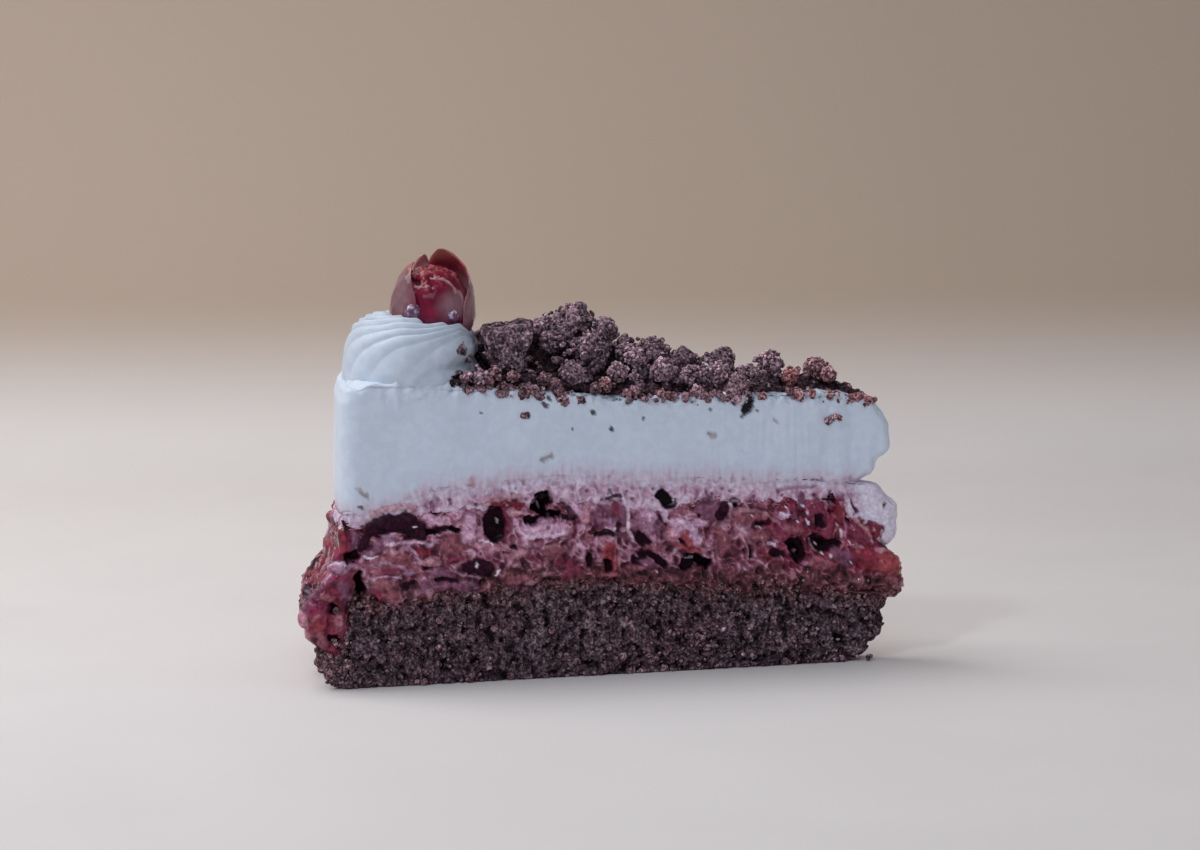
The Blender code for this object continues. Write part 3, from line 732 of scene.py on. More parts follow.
MIDDLE_STROKES = (
    ("pink", 1.6, 0.6, -8.0, 40.0, -5.0, 36.4),
    ("plum", 0.8, -0.7, -7.2, 37.2, -6.8, 36.2),
    ("peach", 1.5, 0.5, -4.0, 37.0, -3.6, 34.6),
    ("plum", 1.4, 0.9, -1.0, 36.5, -0.8, 33.8),
    ("plum", 2.3, 1.0, 2.0, 37.4, 3.4, 35.2),
    ("wine", 1.2, 1.1, 2.4, 37.6, 3.0, 36.0),
    ("mauve", 1.3, 1.3, 1.4, 34.4, 1.8, 33.4),
    ("pale", 0.45, 1.4, 0.8, 32.6, 2.6, 32.6),
    ("plum", 0.9, 1.1, 4.6, 36.5, 4.6, 33.5),
    ("pale", 0.5, 1.3, 5.0, 38.0, 5.7, 35.5, 5.7, 32.0, 6.6, 30.6),
    ("dark", 0.5, -0.3, 0.8, 39.1, 2.4, 39.8, 4.2, 39.5),
    ("dark", 0.7, -0.8, -1.4, 31.2, 1.0, 31.9, 2.4, 31.3),
    ("plum", 0.6, -0.5, 2.8, 31.4, 5.4, 30.4, 7.0, 28.6),
    ("plum", 1.1, 0.5, 7.4, 34.0, 7.8, 31.4),
    ("mauve", 3.0, 1.1, 9.8, 34.6, 10.0, 32.8),
    ("pink", 1.6, 1.4, 9.8, 36.2, 11.0, 34.4),
    ("plum", 1.2, 0.9, 12.6, 33.2, 12.4, 31.4),
    ("pale", 0.6, 1.4, 11.8, 37.2, 13.4, 35.9, 14.2, 34.0),
    ("dark", 1.3, -0.4, 8.0, 30.6, 9.4, 29.0),
    ("black", 1.7, -1.2, 13.2, 39.4, 14.9, 37.2),
    ("glint", 0.22, 0.5, 15.5, 38.6, 15.7, 37.6),
    ("peach", 2.0, 1.2, 16.0, 31.8, 15.6, 30.4),
    ("pink", 3.0, 1.4, 17.6, 31.4, 19.2, 28.8),
    ("red", 1.7, 1.5, 18.2, 30.6, 19.1, 28.4),
    ("orange", 0.9, 1.5, 17.7, 30.6, 18.9, 28.4),
    ("dark", 0.4, -0.4, 17.1, 29.6, 18.0, 27.9),
    ("orange", 0.8, 1.6, 15.2, 28.6, 18.0, 27.3, 21.0, 26.4),
    ("pink", 1.4, 1.5, 15.4, 33.4, 17.6, 33.2, 19.8, 31.2, 20.9, 28.8),
    ("pale", 0.45, 1.8, 16.4, 34.0, 18.6, 33.2, 20.6, 31.0, 21.7, 28.4),
    ("mauve", 0.5, 0.8, 11.3, 29.3, 14.6, 29.1),
    ("orange", 2.0, 1.2, 1.6, 28.0, 2.0, 23.8),
    ("red", 0.9, 1.3, 1.4, 28.2, 1.5, 25.6),
    ("peach", 0.5, 1.5, 3.7, 28.6, 3.8, 23.6),
    ("dark", 0.8, -0.8, 1.0, 25.4, 1.4, 23.4),
    ("brown", 0.8, 1.0, 0.8, 22.4, 3.4, 22.0),
    ("pink", 0.5, 0.8, -5.3, 29.2, -4.2, 27.8),
    ("mauve", 0.45, 0.8, -1.8, 28.4, -1.0, 26.4),
    ("dark", 0.9, -0.7, -3.2, 26.4, -3.0, 24.8),
    ("wine", 1.6, 0.5, -7.8, 22.8, -5.6, 23.0),
    ("dark", 1.6, -0.5, 7.4, 25.4, 9.6, 27.4),
    ("plum", 1.6, 0.2, 9.4, 24.2, 12.6, 25.4),
    ("dark", 1.0, -0.6, 11.0, 26.2, 13.4, 24.0),
    ("brown", 0.9, 0.3, 5.6, 24.0, 8.4, 23.2),
    ("mauve", 0.4, 0.4, 7.2, 26.4, 7.7, 26.0),
    ("mauve", 0.35, 0.4, 9.0, 24.2, 9.3, 24.0),
    ("pink", 0.35, 0.4, 11.6, 22.4, 11.8, 22.2),
    ("pink", 0.4, 0.4, 14.1, 25.2, 14.4, 24.8),
    ("mauve", 0.35, 0.4, 5.1, 27.1, 5.4, 26.8),
    ("brown", 1.0, 0.6, 9.5, 27.8, 12.4, 27.9),
    ("dark", 1.6, -1.2, 18.0, 23.8, 20.0, 24.8),
    ("black", 1.3, -1.6, 20.6, 25.2, 22.8, 24.0),
    ("mauve", 0.35, -0.6, 20.4, 24.0, 20.8, 23.8),
    ("glint", 0.19, 0.4, 18.2, 24.9, 20.0, 25.1),
    ("mauve", 0.35, 0.4, 15.2, 24.0, 17.0, 23.4),
)
RIGHT_STROKES = (
    ("plum", 3.2, 0.9, 23.6, 35.8, 25.6, 35.0),
    ("plum", 1.4, 1.1, 22.8, 38.0, 23.8, 38.2),
    ("dark", 1.6, 0.6, 26.2, 34.4, 27.0, 36.0),
    ("pink", 1.1, 1.0, 20.6, 33.0, 22.2, 32.8),
    ("dark", 0.45, -0.6, 21.4, 34.4, 21.6, 34.2),
    ("brown", 2.2, 0.8, 26.0, 30.0, 27.4, 27.0),
    ("black", 0.65, -1.6, 29.3, 36.7, 29.4, 36.5),
    ("pale", 0.4, 0.6, 28.3, 36.9, 28.4, 36.2),
    ("brown", 2.6, 1.3, 31.2, 33.6, 35.0, 32.6),
    ("wine", 2.2, 1.1, 37.4, 31.0, 40.0, 29.4),
    ("brown", 1.6, 1.0, 33.0, 29.8, 36.0, 29.0),
    ("wine", 1.0, -0.5, 33.6, 31.6, 36.6, 32.2),
    ("dark", 0.5, -0.7, 34.4, 31.8, 35.8, 32.2),
    ("tan", 0.5, 1.6, 29.8, 35.4, 33.0, 35.4, 36.0, 34.1, 38.6, 32.4),
    ("tan", 0.5, 1.3, 28.6, 35.4, 28.5, 33.4, 28.1, 32.3),
    ("glint", 0.22, 1.6, 34.2, 31.4, 34.9, 31.3),
    ("glint", 0.22, 1.5, 32.6, 34.2, 32.8, 34.0),
    ("brown", 1.1, 1.2, 33.4, 27.8, 36.0, 25.4, 39.0, 23.8),
    ("tan", 0.4, 1.5, 30.4, 30.0, 31.2, 29.0, 31.9, 27.2, 32.1, 25.6),
    ("dark", 0.55, -0.6, 32.6, 27.2, 32.9, 24.8),
    ("red", 0.8, 1.4, 35.0, 25.9, 37.6, 24.6),
    ("dark", 1.0, -0.2, 38.2, 25.6, 39.8, 25.0),
    ("pale", 0.5, 1.3, 36.9, 27.8, 38.0, 27.4),
    ("tan", 0.5, 1.3, 39.8, 24.4, 40.2, 23.7),
    ("dark", 1.9, -1.0, 42.8, 27.2, 43.6, 24.4),
    ("black", 0.9, -1.9, 42.6, 26.8, 43.4, 25.6),
    ("mauve", 0.4, -0.8, 42.6, 25.6, 43.0, 25.9),
    ("brown", 1.3, 1.0, 41.6, 30.6, 44.0, 30.2),
    ("pale", 0.9, 1.2, 39.9, 33.4, 41.3, 33.7),
    ("plum", 0.9, 1.1, 42.3, 33.6, 42.5, 33.3),
    ("mauve", 0.5, 0.6, 40.0, 39.9, 44.0, 39.6, 47.5, 40.0),
    ("wine", 2.4, 0.9, 47.4, 35.6, 48.0, 32.6),
    ("plum", 1.0, 0.8, 44.4, 37.6, 44.2, 35.0),
    ("dark", 0.8, -0.6, 51.2, 37.4, 50.9, 34.4),
    ("red", 1.4, 1.0, 52.6, 36.2, 52.8, 34.0),
    ("mauve", 0.5, 0.9, 49.8, 37.6, 50.0, 35.2),
    ("wine", 1.9, 1.0, 50.4, 30.4, 50.2, 28.8),
    ("dark", 1.2, -0.4, 48.2, 33.0, 48.6, 31.6),
    ("dark", 1.5, -0.7, 47.0, 27.9, 49.4, 26.6, 51.8, 26.8),
    ("black", 0.6, -1.2, 47.6, 27.7, 49.0, 27.2),
    ("tan", 0.4, 1.2, 46.1, 28.2, 46.7, 26.4, 47.6, 25.4),
    ("plum", 2.0, 0.6, 52.6, 24.6, 54.4, 23.4),
    ("brown", 1.9, 1.0, 47.6, 22.6, 50.0, 22.4),
    ("dark", 0.35, -0.3, 55.3, 36.4, 56.8, 33.6),
    ("pale", 0.45, 1.0, 54.5, 36.6, 55.0, 34.0, 55.4, 33.2),
    ("wine", 1.0, 1.2, 56.4, 31.7, 59.4, 31.3, 62.2, 30.0),
    ("red", 1.0, 1.2, 57.0, 30.3, 60.0, 29.8, 62.0, 28.8),
    ("wine", 2.2, 1.4, 56.6, 29.4, 58.2, 27.6),
    ("peach", 0.45, 1.8, 56.2, 32.0, 58.4, 30.2, 59.6, 28.4, 60.4, 27.0),
    ("red", 3.0, 1.6, 58.4, 23.6, 62.0, 22.4),
    ("orange", 2.6, 2.0, 62.8, 22.2, 65.2, 20.8),
    ("tan", 0.5, 1.8, 56.2, 26.0, 58.0, 25.9),
    ("peach", 0.5, 1.9, 60.8, 25.4, 64.0, 24.0, 66.2, 22.4),
    ("brown", 1.3, 1.0, 64.0, 18.4, 66.0, 17.8),
    ("glint", 0.22, 1.2, 43.0, 32.5, 43.2, 32.2),
    ("glint", 0.22, 1.2, 45.3, 34.1, 45.5, 33.8),
    ("glint", 0.25, 1.2, 45.5, 32.5, 45.7, 32.2),
    ("glint", 0.22, 1.2, 40.6, 35.8, 40.9, 35.7),
    ("glint", 0.25, 1.2, 44.2, 35.7, 44.5, 35.4),
    ("glint", 0.22, 1.2, 47.6, 27.2, 47.9, 27.0),
    ("glint", 0.25, 1.2, 48.7, 25.1, 49.0, 24.8),
    ("glint", 0.25, 1.2, 50.5, 24.6, 50.9, 24.0),
    ("glint", 0.22, 1.2, 52.0, 31.4, 52.2, 31.2),
    ("glint", 0.25, 1.2, 53.0, 30.0, 53.3, 28.4),
    ("glint", 0.22, 1.2, 54.9, 27.3, 55.1, 27.0),
    ("glint", 0.22, 1.2, 55.5, 22.7, 55.8, 22.5),
    ("glint", 0.22, 1.2, 45.7, 31.8, 45.9, 31.6),
    ("dark", 0.4, -0.3, 63.2, 35.6, 63.3, 35.4),
)
FRONT_STROKES = RIM_STROKES + LEFT_STROKES + MIDDLE_STROKES + RIGHT_STROKES

# Crumbs, bubbles and folds in the front of the white cream. The black and dark dents are painted dark,
# partly as crumbs and partly as painted shade in bubbles; the stain strokes are grey marks with painted
# shade in shallow pits.
FACE_STROKES = (
    ("cream", 2.4, 0.8, -41.5, 64.2, -36.0, 64.4, -31.0, 62.8),
    ("cream", 1.3, 0.6, -44.2, 65.6, -44.0, 61.5),
    ("cream", 1.2, -0.5, -46.8, 65.0, -46.4, 62.8),
    ("cream", 0.8, -0.4, -55.5, 66.4, -52.0, 65.2, -48.4, 65.0),
    ("black", 0.5, -0.6, -11.5, 61.8, -11.3, 61.6),
    ("dark", 0.6, -0.6, -12.4, 60.3, -12.1, 60.0),
    ("black", 0.6, -0.8, -1.9, 58.1, -1.6, 57.9),
    ("black", 0.5, -0.7, 2.3, 54.3, 2.6, 54.1),
    ("dark", 0.3, -0.4, -6.7, 54.7, -6.5, 54.7),
    ("dark", 0.3, -0.4, -26.0, 59.0, -25.8, 59.0),
    ("dark", 0.35, -0.4, 9.4, 56.5, 9.5, 57.0),
    ("black", 0.7, -0.8, 6.8, 61.6, 7.0, 61.2),
    ("dark", 0.5, -0.5, 5.7, 59.9, 5.9, 59.7),
    ("dark", 0.6, -0.6, 12.8, 61.6, 13.0, 61.4),
    ("cream", 1.0, 0.9, 30.6, 60.0, 32.0, 62.2, 35.0, 62.0),
    ("black", 1.1, -1.4, 32.4, 61.0, 33.2, 59.3, 32.4, 57.4),
    ("black", 0.35, -0.5, 32.2, 57.2, 31.2, 55.8),
    ("dark", 0.5, -0.5, 29.2, 59.0, 29.4, 58.8),
    ("dark", 0.4, -0.4, 24.1, 57.8, 24.3, 57.6),
    ("stain", 0.8, -0.5, 24.0, 52.4, 24.9, 52.2),
    ("stain", 0.5, -0.4, 38.6, 54.9, 38.8, 54.7),
    ("dark", 0.35, -0.4, 34.3, 57.1, 34.5, 56.9),
    ("cream", 1.1, -0.5, 31.9, 48.6, 32.7, 48.4),
    ("stain", 0.9, -0.6, -12.6, 48.4, -10.8, 48.9),
    ("cream", 0.45, -0.7, -11.8, 47.9, -10.4, 48.2),
    ("stain", 0.8, -0.5, -52.2, 43.2, -51.0, 42.0),
    ("dark", 0.45, -0.4, -52.4, 39.4, -52.0, 39.2),
    ("peach", 0.9, 0.1, -28.8, 44.4, -28.4, 42.0),
)

# ---------------------------------------------------------------- sponge


# Colours of crumb from the painted shade in the gaps between its grains to the painted light on their
# tops, as (tone, colour).
BROWN_CRUMB = (
    (0, (0.008, 0.005, 0.008)), (0.35, (0.068, 0.042, 0.053)),
    (0.7, (0.205, 0.137, 0.165)), (1, (0.520, 0.390, 0.430)),
)
RUSTY_CRUMB = (
    (0, (0.014, 0.004, 0.004)), (0.35, (0.100, 0.034, 0.036)),
    (0.7, (0.240, 0.098, 0.095)), (1, (0.500, 0.270, 0.240)),
)


def crumb_tones(tone, rust):
    """Colours of chocolate crumb. rust is how red it is."""
    return over(tones(tone, *BROWN_CRUMB), tones(tone, *RUSTY_CRUMB), rust)


def broken_crumb(points):
    """Height and tone of a torn crumb: grains, the ridges that wind between them, and gaps. Its tone is
    painted shade in the gaps and painted light on the grains and ridges that stand out, with random
    changes.
    """
    bend = bends(points, 1.4, (7.7, 41.3, 90.2))
    grains, share = domes((points + 0.3 * bend) / 1.15, 0.75)
    ridges = 1 - 2.4 * np.abs(swells((points + 0.5 * bend) / 1.3))
    gaps = ease(0.05, 0.5, swells(points / 1.9 + 40) + 0.35 * swells(points / 0.8))
    height = 0.3 * grains + 0.22 * ridges + 0.5 * rough(points / 3.1, 2) - 0.7 * gaps - 0.1
    tone = 0.2 + 0.34 * grains * share + 0.34 * np.maximum(ridges, 0) ** 1.5 - 0.34 * gaps
    tone += 0.1 * swells(points / 4.5) + 0.12 * swells(points / 0.6)
    return height, np.clip(tone, 0, 1)


# Jelly that has soaked into the front of the sponge.
SPONGE_SMEARS = (
    ("brown", 1.4, 0.3, 32.5, 22.4, 38.0, 21.4),
    ("plum", 1.2, 0.2, 33.0, 19.2, 37.0, 18.6),
    ("brown", 1.6, 0.2, 46.0, 18.4, 51.5, 16.8),
    ("plum", 1.0, 0.2, 45.5, 15.2, 48.5, 13.9),
    ("brown", 1.2, 0.3, -47.0, 20.6, -43.5, 20.4),
    ("plum", 1.0, 0.3, -19.5, 20.0, -17.0, 20.2),
)

RAGGED_HEIGHT = 1.5
SOAK_DEPTH = 4.0
WORN_RIM, WORN_FOOT, WORN_TIP = 6.0, 5.0, 9.0  # how far the broken corners reach
SPONGE_TIP_AT = 8.0  # distance of the sponge's tip from the apex
LAYER_OVERLAP = 2.8  # how far the sponge and the filling each reach past the height where they meet
FILLING_REACH = 1.3  # how far the filling reaches up into the stained cream
STAINED_REACH = 1.6  # how far the stained and the white cream reach into each other


def ragged(x, y):
    """How much higher or lower the torn top of the sponge lies here than its even height."""
    return RAGGED_HEIGHT * swells(np.stack([x / 4.2, y / 9, np.full(x.shape, 7.0)], 1))


def sponge_relief(points, place):
    """Torn crumb, soaked with jelly at its top and broken away at its corners and its foot."""
    height, tone = broken_crumb(points)
    x, y, z = points.T
    top = sponge_high(x, y) + ragged(x, y) - z
    soaked = ease(SOAK_DEPTH, 0, top + 2.2 * rough(points / 4, 2))
    warm = ease(-0.4, 0.9, swells(points / 17))
    tone = np.clip(tone + 0.13 * rough(points / 2.6, 2), 0, 1)
    relief = Relief(points, place, height, crumb_tones(tone, 0.55 * soaked + 0.3 * warm), 0.3 * soaked)
    grain_height, grain_colour = relief.height.copy(), relief.colour.copy()
    relief.lay(SPONGE_SMEARS, shake=2.0)
    relief.height = 0.7 * grain_height + 0.3 * relief.height
    relief.colour = over(relief.colour, grain_colour, 0.45 + 0.3 * ease(0.45, 0.05, tone))
    relief.gloss *= 0.4
    corner = ease(WORN_RIM, 0, np.abs(place - RIM_X)) + ease(WORN_FOOT, 0, z)
    corner = corner + ease(WORN_TIP, 0, apex_distance(x, y) - SPONGE_TIP_AT)
    relief.height += 0.8 * np.minimum(corner, 1) * rough(points / 2.4, 2)
    relief.height -= 0.9 * ease(1.0, -1.3, top + 0.9 * rough(points / 1.6, 2))
    relief.height -= 0.8 * ease(0.8, 2.6, z - sponge_high(x, y))
    return relief


def even_rim(rim):
    """Distances from the apex that run evenly from the tip to this outline of the rim."""
    return lambda along, across, w, start: start + (read(rim, w) - start) * along


def make_sponge():
    """The base of the slice."""
    grid = layer_skin(
        columns=loop_columns(front_step=0.27, back_step=0.8),
        rows=78,
        tip=SPONGE_TIP,
        width=SPONGE_TIP_WIDTH,
        distance_of=even_rim(SPONGE_RIM),
        low=lambda x, y, along: np.zeros(x.shape),
        high=lambda x, y: sponge_high(x, y) + LAYER_OVERLAP,
        edge=0.3,
        corner=1.2,
    )
    look = painted_look("sponge", size=0.55, darkest=0.35, lightest=1.8, depth=0.4, dull=0.95)
    finish_layer("sponge_crumb", grid, sponge_relief, look, "chocolate_sponge", "sponge", True)


# ---------------------------------------------------------------- filling


# Colours of the filling from its hollows to its crests, as (tone, colour): its fruit and jelly, where it
# is wettest at its ends, and where the sponge soaks it up.
JELLY_TONES = (
    (0.05, (0.018, 0.003, 0.009)), (0.32, (0.12, 0.022, 0.042)), (0.55, (0.28, 0.100, 0.145)),
    (0.8, (0.52, 0.310, 0.400)), (1, (0.72, 0.52, 0.62)),
)
WET_TONES = (
    (0.05, (0.02, 0.002, 0.008)), (0.35, (0.13, 0.011, 0.034)), (0.68, (0.28, 0.040, 0.080)),
    (0.92, (0.48, 0.200, 0.290)), (1.05, (0.70, 0.50, 0.62)),
)
SOAKED_TONES = (
    (0.08, (0.010, 0.003, 0.005)), (0.40, (0.065, 0.016, 0.024)),
    (0.7, (0.18, 0.055, 0.070)), (0.95, (0.42, 0.210, 0.250)),
)
FLECK_COLOUR = (0.52, 0.33, 0.42)

# Paints of the strokes on the rim and the back face, the common ones more than once.
SCATTERED = (
    "dark", "wine", "wine", "red", "brown", "brown", "plum", "mauve", "peach", "pink", "tan", "pale"
)
SCATTERED_APART = 0.42
SCATTERED_START = RIM_X - 9
SCATTERED_END = RIM_X - 20 - RIM_LENGTH - LAYER_LENGTH
SCATTERED_LOWEST, SCATTERED_HIGHEST = 8, 39
HOLLOW_SHARE, HOLLOW_DEPTH = 0.08, 1.4


def scattered_strokes():
    """Cut fruit, jelly and cream in no order, for the rim and the back face."""
    strokes = []
    for place in np.arange(SCATTERED_START, SCATTERED_END, -SCATTERED_APART):
        x, z = place + draw.uniform(-1, 1), draw.uniform(SCATTERED_LOWEST, SCATTERED_HIGHEST)
        kind = SCATTERED[draw.integers(len(SCATTERED))]
        radius = draw.uniform(0.3, 1.0) if kind in ("pale", "tan", "pink") else draw.uniform(0.8, 2.7)
        to_x, to_z = draw.normal(0, 2.2), draw.normal(0, 1.2)
        proud = -HOLLOW_DEPTH if draw.random() < HOLLOW_SHARE else draw.uniform(0.2, 1.5)
        strokes.append((kind, radius, proud, x, z, x + to_x, z + to_z))
    return strokes


WET_TIP, WET_RIM = (33, 42), (-50, -56)  # x where the filling's wet ends begin, and where they are full
SOAK_BEGINS, SOAK_FULL = 5.5, 2.5  # heights above the sponge where the jelly darkens, and is darkest
FLECKED_SHARE = 0.28  # share of the globs that have a fleck of cream
HOLLOW_SHADE = 0.35
FILLING_TINT = (1.15, 1.03, 1.13)
FRONT_START = RIM_X + 3


def filling_colour(points, place, mottle, above):
    """Fruit in jelly, wettest at both ends of the front face and darkest just above the sponge."""
    at_ends = np.where(place > 0, ease(*WET_TIP, place), ease(*WET_RIM, place))
    colour = over(tones(mottle, *JELLY_TONES), tones(mottle, *WET_TONES), at_ends)
    soaked = ease(SOAK_BEGINS, SOAK_FULL, above + 1.2 * swells(points / 2.5))
    return over(colour, tones(mottle, *SOAKED_TONES), soaked)


def filling_surface(points, place, above):
    """Jelly in ridges and globs with flecks of cream, before any fruit is laid on it."""
    fold, crest = folds(points)
    globs, share = domes(points / 3.6, 0.9)
    height = 0.75 * fold + 0.5 * globs + 0.4 * rough(points / 6, 2) - 0.6
    # The mottle is partly painted light and shade: lighter on the ridges of the folds, and on the front
    # face lighter along thin crests as painted highlights.
    mottle = 0.36 + 0.3 * fold + 0.26 * rough(points / 1.8, 3) + 0.24 * swells(points / 5)
    mottle += 0.2 * (share - 0.5)
    mottle += 0.22 * crest * (place > FRONT_START) - 0.1 * (place < FRONT_START)
    flecks = ease(0.4, 0.2, cells(points / 2.6)[0]) * (share > 1 - FLECKED_SHARE)
    colour = over(filling_colour(points, place, mottle, above), FLECK_COLOUR, 0.5 * flecks)
    return Relief(points, place, height + 0.2 * flecks, colour, 0.9)


def trim_filling(relief, place, above):
    """Tears the filling's edges, draws it in where it lies on the sponge, and lets the run swell out."""
    points = relief.points
    x, y, z = points.T
    relief.height -= 0.7 * ease(-0.5, 1.3, z - filling_high(x, y) + 0.5 * swells(points / 1.7))
    on_sponge = (place > RIM_X) & (y < 0) | (y > 0) & (apex_distance(x, y) < RUN_INNER)
    torn = 0.9 * ease(1.0, -1.3, above + 0.9 * rough(points / 1.6 + 20, 2))
    relief.height -= np.where(on_sponge, torn, 0)
    relief.height -= np.where(on_sponge, 1.1 * ease(-0.9, -2.5, z - sponge_high(x, y)), 0)
    w = (z - run_foot(y)) / (filling_high(x, y) + 0.5 - run_foot(y))
    beside_sponge = (place > RIM_X - 15) & (x < RIM_X + 6) & (z < sponge_high(x, y))
    swollen = 2.6 * ease(0, 2.4, apex_distance(x, y) - run_inner(w)) - 2.2
    relief.height += np.where(beside_sponge, swollen, 0)


def filling_relief(points, place):
    """Jelly and torn fruit with stained cream folded in, and the cut pieces laid over them."""
    x, y, z = points.T
    above = z - np.where(place > RIM_X, sponge_high(x, y) + ragged(x, y), 0)
    relief = filling_surface(points, place, above)
    relief.lay(FRONT_STROKES)
    relief.lay(scattered_strokes())
    shade = HOLLOW_SHADE + (1 - HOLLOW_SHADE) * ease(-0.9, 0.2, relief.height)
    relief.colour *= shade[:, None] * FILLING_TINT
    relief.height += 0.1 * rough(points / 1.1, 2)
    trim_filling(relief, place, above)
    return relief


RUN_FOOT_START = 0.6  # radians
RUN_INNER_BACK, RUN_INNER_WAVE = 1.2, 1.1  # how far the run reaches over the sponge's front, and its waves


def run_foot(y):
    """Height of the uneven lower edge of the run."""
    return RUN_FOOT + RUN_FOOT_WAVE * np.sin(y / RUN_WAVE_LENGTH + RUN_FOOT_START)


def run_inner(w):
    """Distance from the apex of the uneven line where the run meets the front of the sponge."""
    return RUN_INNER - RUN_INNER_BACK + RUN_INNER_WAVE * np.sin(13 * w + 1)


def run_face(w, across):
    """Distance from the apex of the outer face of the jelly that has run over the rim."""
    swell = read(RUN_OUTLINE, w) - RUN_BASE
    return RUN_BASE + swell * (0.86 + 0.14 * np.cos(9 * across + 2.4))


def make_filling():
    """The cherries in jelly, with the run over the rim as part of the same skin."""

    def distance_of(along, across, w, start):
        """Runs to the sponge's rim first, and then out over it."""
        share = np.clip((along - RUN_SHARE) / (1 - RUN_SHARE), 0, 1)
        inner = run_inner(w)
        on_sponge = start + (inner - start) * np.minimum(along / RUN_SHARE, 1)
        return np.where(along < RUN_SHARE, on_sponge, inner + (run_face(w, across) - inner) * share)

    def low(x, y, along):
        """Lies on the sponge, and hangs down past its rim."""
        down = ease(0, 0.35, (along - RUN_SHARE) / (1 - RUN_SHARE))
        on_crumb = sponge_high(x, y) - LAYER_OVERLAP
        return on_crumb + (run_foot(y) - on_crumb) * down

    grid = layer_skin(
        columns=loop_columns(front_step=0.26, back_step=0.62, run=True),
        rows=80,
        tip=FILLING_TIP,
        width=FILLING_TIP_WIDTH,
        distance_of=distance_of,
        low=low,
        high=lambda x, y: filling_high(x, y) + FILLING_REACH,
        edge=0.4,
        rings=(0.03, 0.12, 0.3, 0.9),
        corner=3.5,
    )
    look = painted_look("filling", size=0.9, darkest=0.75, lightest=1.25, depth=0.1, dull=0.45,
                        shine=0.03, coat=0.9, wear=0.75, soft=0.1, bleed=(1.0, 0.35, 0.3))
    finish_layer("cherries_in_jelly", grid, filling_relief, look, "cherry_jelly", "cherry_filling")


# ---------------------------------------------------------------- cream


# Colours of the creams, as (tone, colour), and of what is in them.
FRINGE_TONES = ((0, (0.42, 0.26, 0.38)), (0.35, (0.60, 0.45, 0.58)), (0.75, (0.70, 0.63, 0.78)))
STAINED_TONES = (
    (0.1, (0.13, 0.05, 0.10)), (0.34, (0.36, 0.19, 0.30)),
    (0.55, (0.60, 0.38, 0.52)), (0.85, (0.78, 0.64, 0.80)),
)
FRINGE_SPOT, STAINED_HOLE = (0.30, 0.15, 0.25), (0.16, 0.06, 0.12)
TIP_CREAM, LILAC_CREAM = (0.78, 0.72, 0.87), (0.66, 0.66, 0.80)


def fringe_tones(points, place):
    """Cream where the knife has drawn cherry juice up through it: streaks from near white to dusty pink."""
    streaks = rough(np.stack([place / 0.8, points[:, 1] / 3, points[:, 2] / 3.2], 1), 2)
    value = 0.55 + 0.34 * streaks + 0.3 * rough(points / 1.2, 2)
    near, share = cells(points * (1, 1, 0.6) / 1.7)
    spots = ease(0.36, 0.18, near) * (share < 0.3)
    return over(tones(value, *FRINGE_TONES), FRINGE_SPOT, 0.7 * spots)


def stained_relief(points, place):
    """Torn, lumpy cream with cherry juice in it, and the round lump at the tip."""
    x, y, z = points.T
    fold, crest = folds(points * (1, 1, 0.75))
    lumps, _ = domes(points * (1, 1, 0.7) / 3.2, 0.9)
    from_tip = apex_distance(x, y)
    at_tip = ease(16, 12, from_tip + 2 * swells(points / 2.5))
    height = 0.45 * lumps + 0.3 * fold + 0.3 * rough(points / 5, 2) - 0.35
    height += 0.8 * np.exp(-(((from_tip - 11) / 6) ** 2))
    # The mottle is partly painted light and shade: lighter on the ridges of the folds and along thin
    # crests.
    mottle = 0.48 + 0.24 * fold + 0.28 * rough(points / 1.7, 3) + 0.16 * swells(points / 5) + 0.3 * crest
    spots, spot_share = cells(points / 1.5)
    holes = ease(0.4, 0.22, spots) * (spot_share < 0.3) * (1 - at_tip)
    # The holes are sunk and painted dark: painted shade in them.
    colour = over(tones(mottle, *STAINED_TONES), STAINED_HOLE, 0.75 * holes)
    above = z - stained_high(x, y)
    colour = over(colour, fringe_tones(points, place), ease(-2.0, 0.0, above + 0.9 * swells(points / 1.4)))
    colour = over(colour, TIP_CREAM, at_tip)
    relief = Relief(points, place, height - 0.5 * holes, colour, 0.25)
    relief.lay(FRONT_STROKES)
    relief.height -= 0.7 * ease(-0.6, 1.5, above + 0.5 * swells(points / 1.5))
    relief.height -= 0.5 * ease(0.4, -1.2, z - filling_high(x, y) + 0.6 * swells(points / 1.8))
    return relief


def make_stained_cream():
    """The thin pink band, which hangs into the filling in torn scallops."""

    def low(x, y, along):
        """The torn lower edge."""
        torn = rough(np.stack([x / 5, y / 9, np.zeros(x.shape)], -1).reshape(-1, 3), 3).reshape(x.shape)
        return filling_high(x, y) - 0.7 + 1.3 * torn

    grid = layer_skin(
        columns=loop_columns(front_step=0.28, back_step=0.9),
        rows=38,
        tip=STAINED_TIP,
        width=STAINED_TIP_WIDTH,
        distance_of=even_rim(STAINED_RIM),
        low=low,
        high=lambda x, y: stained_high(x, y) + STAINED_REACH * ease(9, 18, apex_distance(x, y)),
        edge=0.3,
        corner=2.5,
    )
    look = painted_look(
        "pink_cream", size=0.9, darkest=0.85, lightest=1.15, depth=0.1, dull=0.5, soft=0.15
    )
    finish_layer("pink_cream", grid, stained_relief, look, "stained_cream", "stained_cream")


def cream_tones(points):
    """White cream with a cool shade in broad soft patches."""
    return tones(0.5 + 0.5 * rough(points / 14, 2), (0, CREAM_SHADE), (1, CREAM_WHITE))


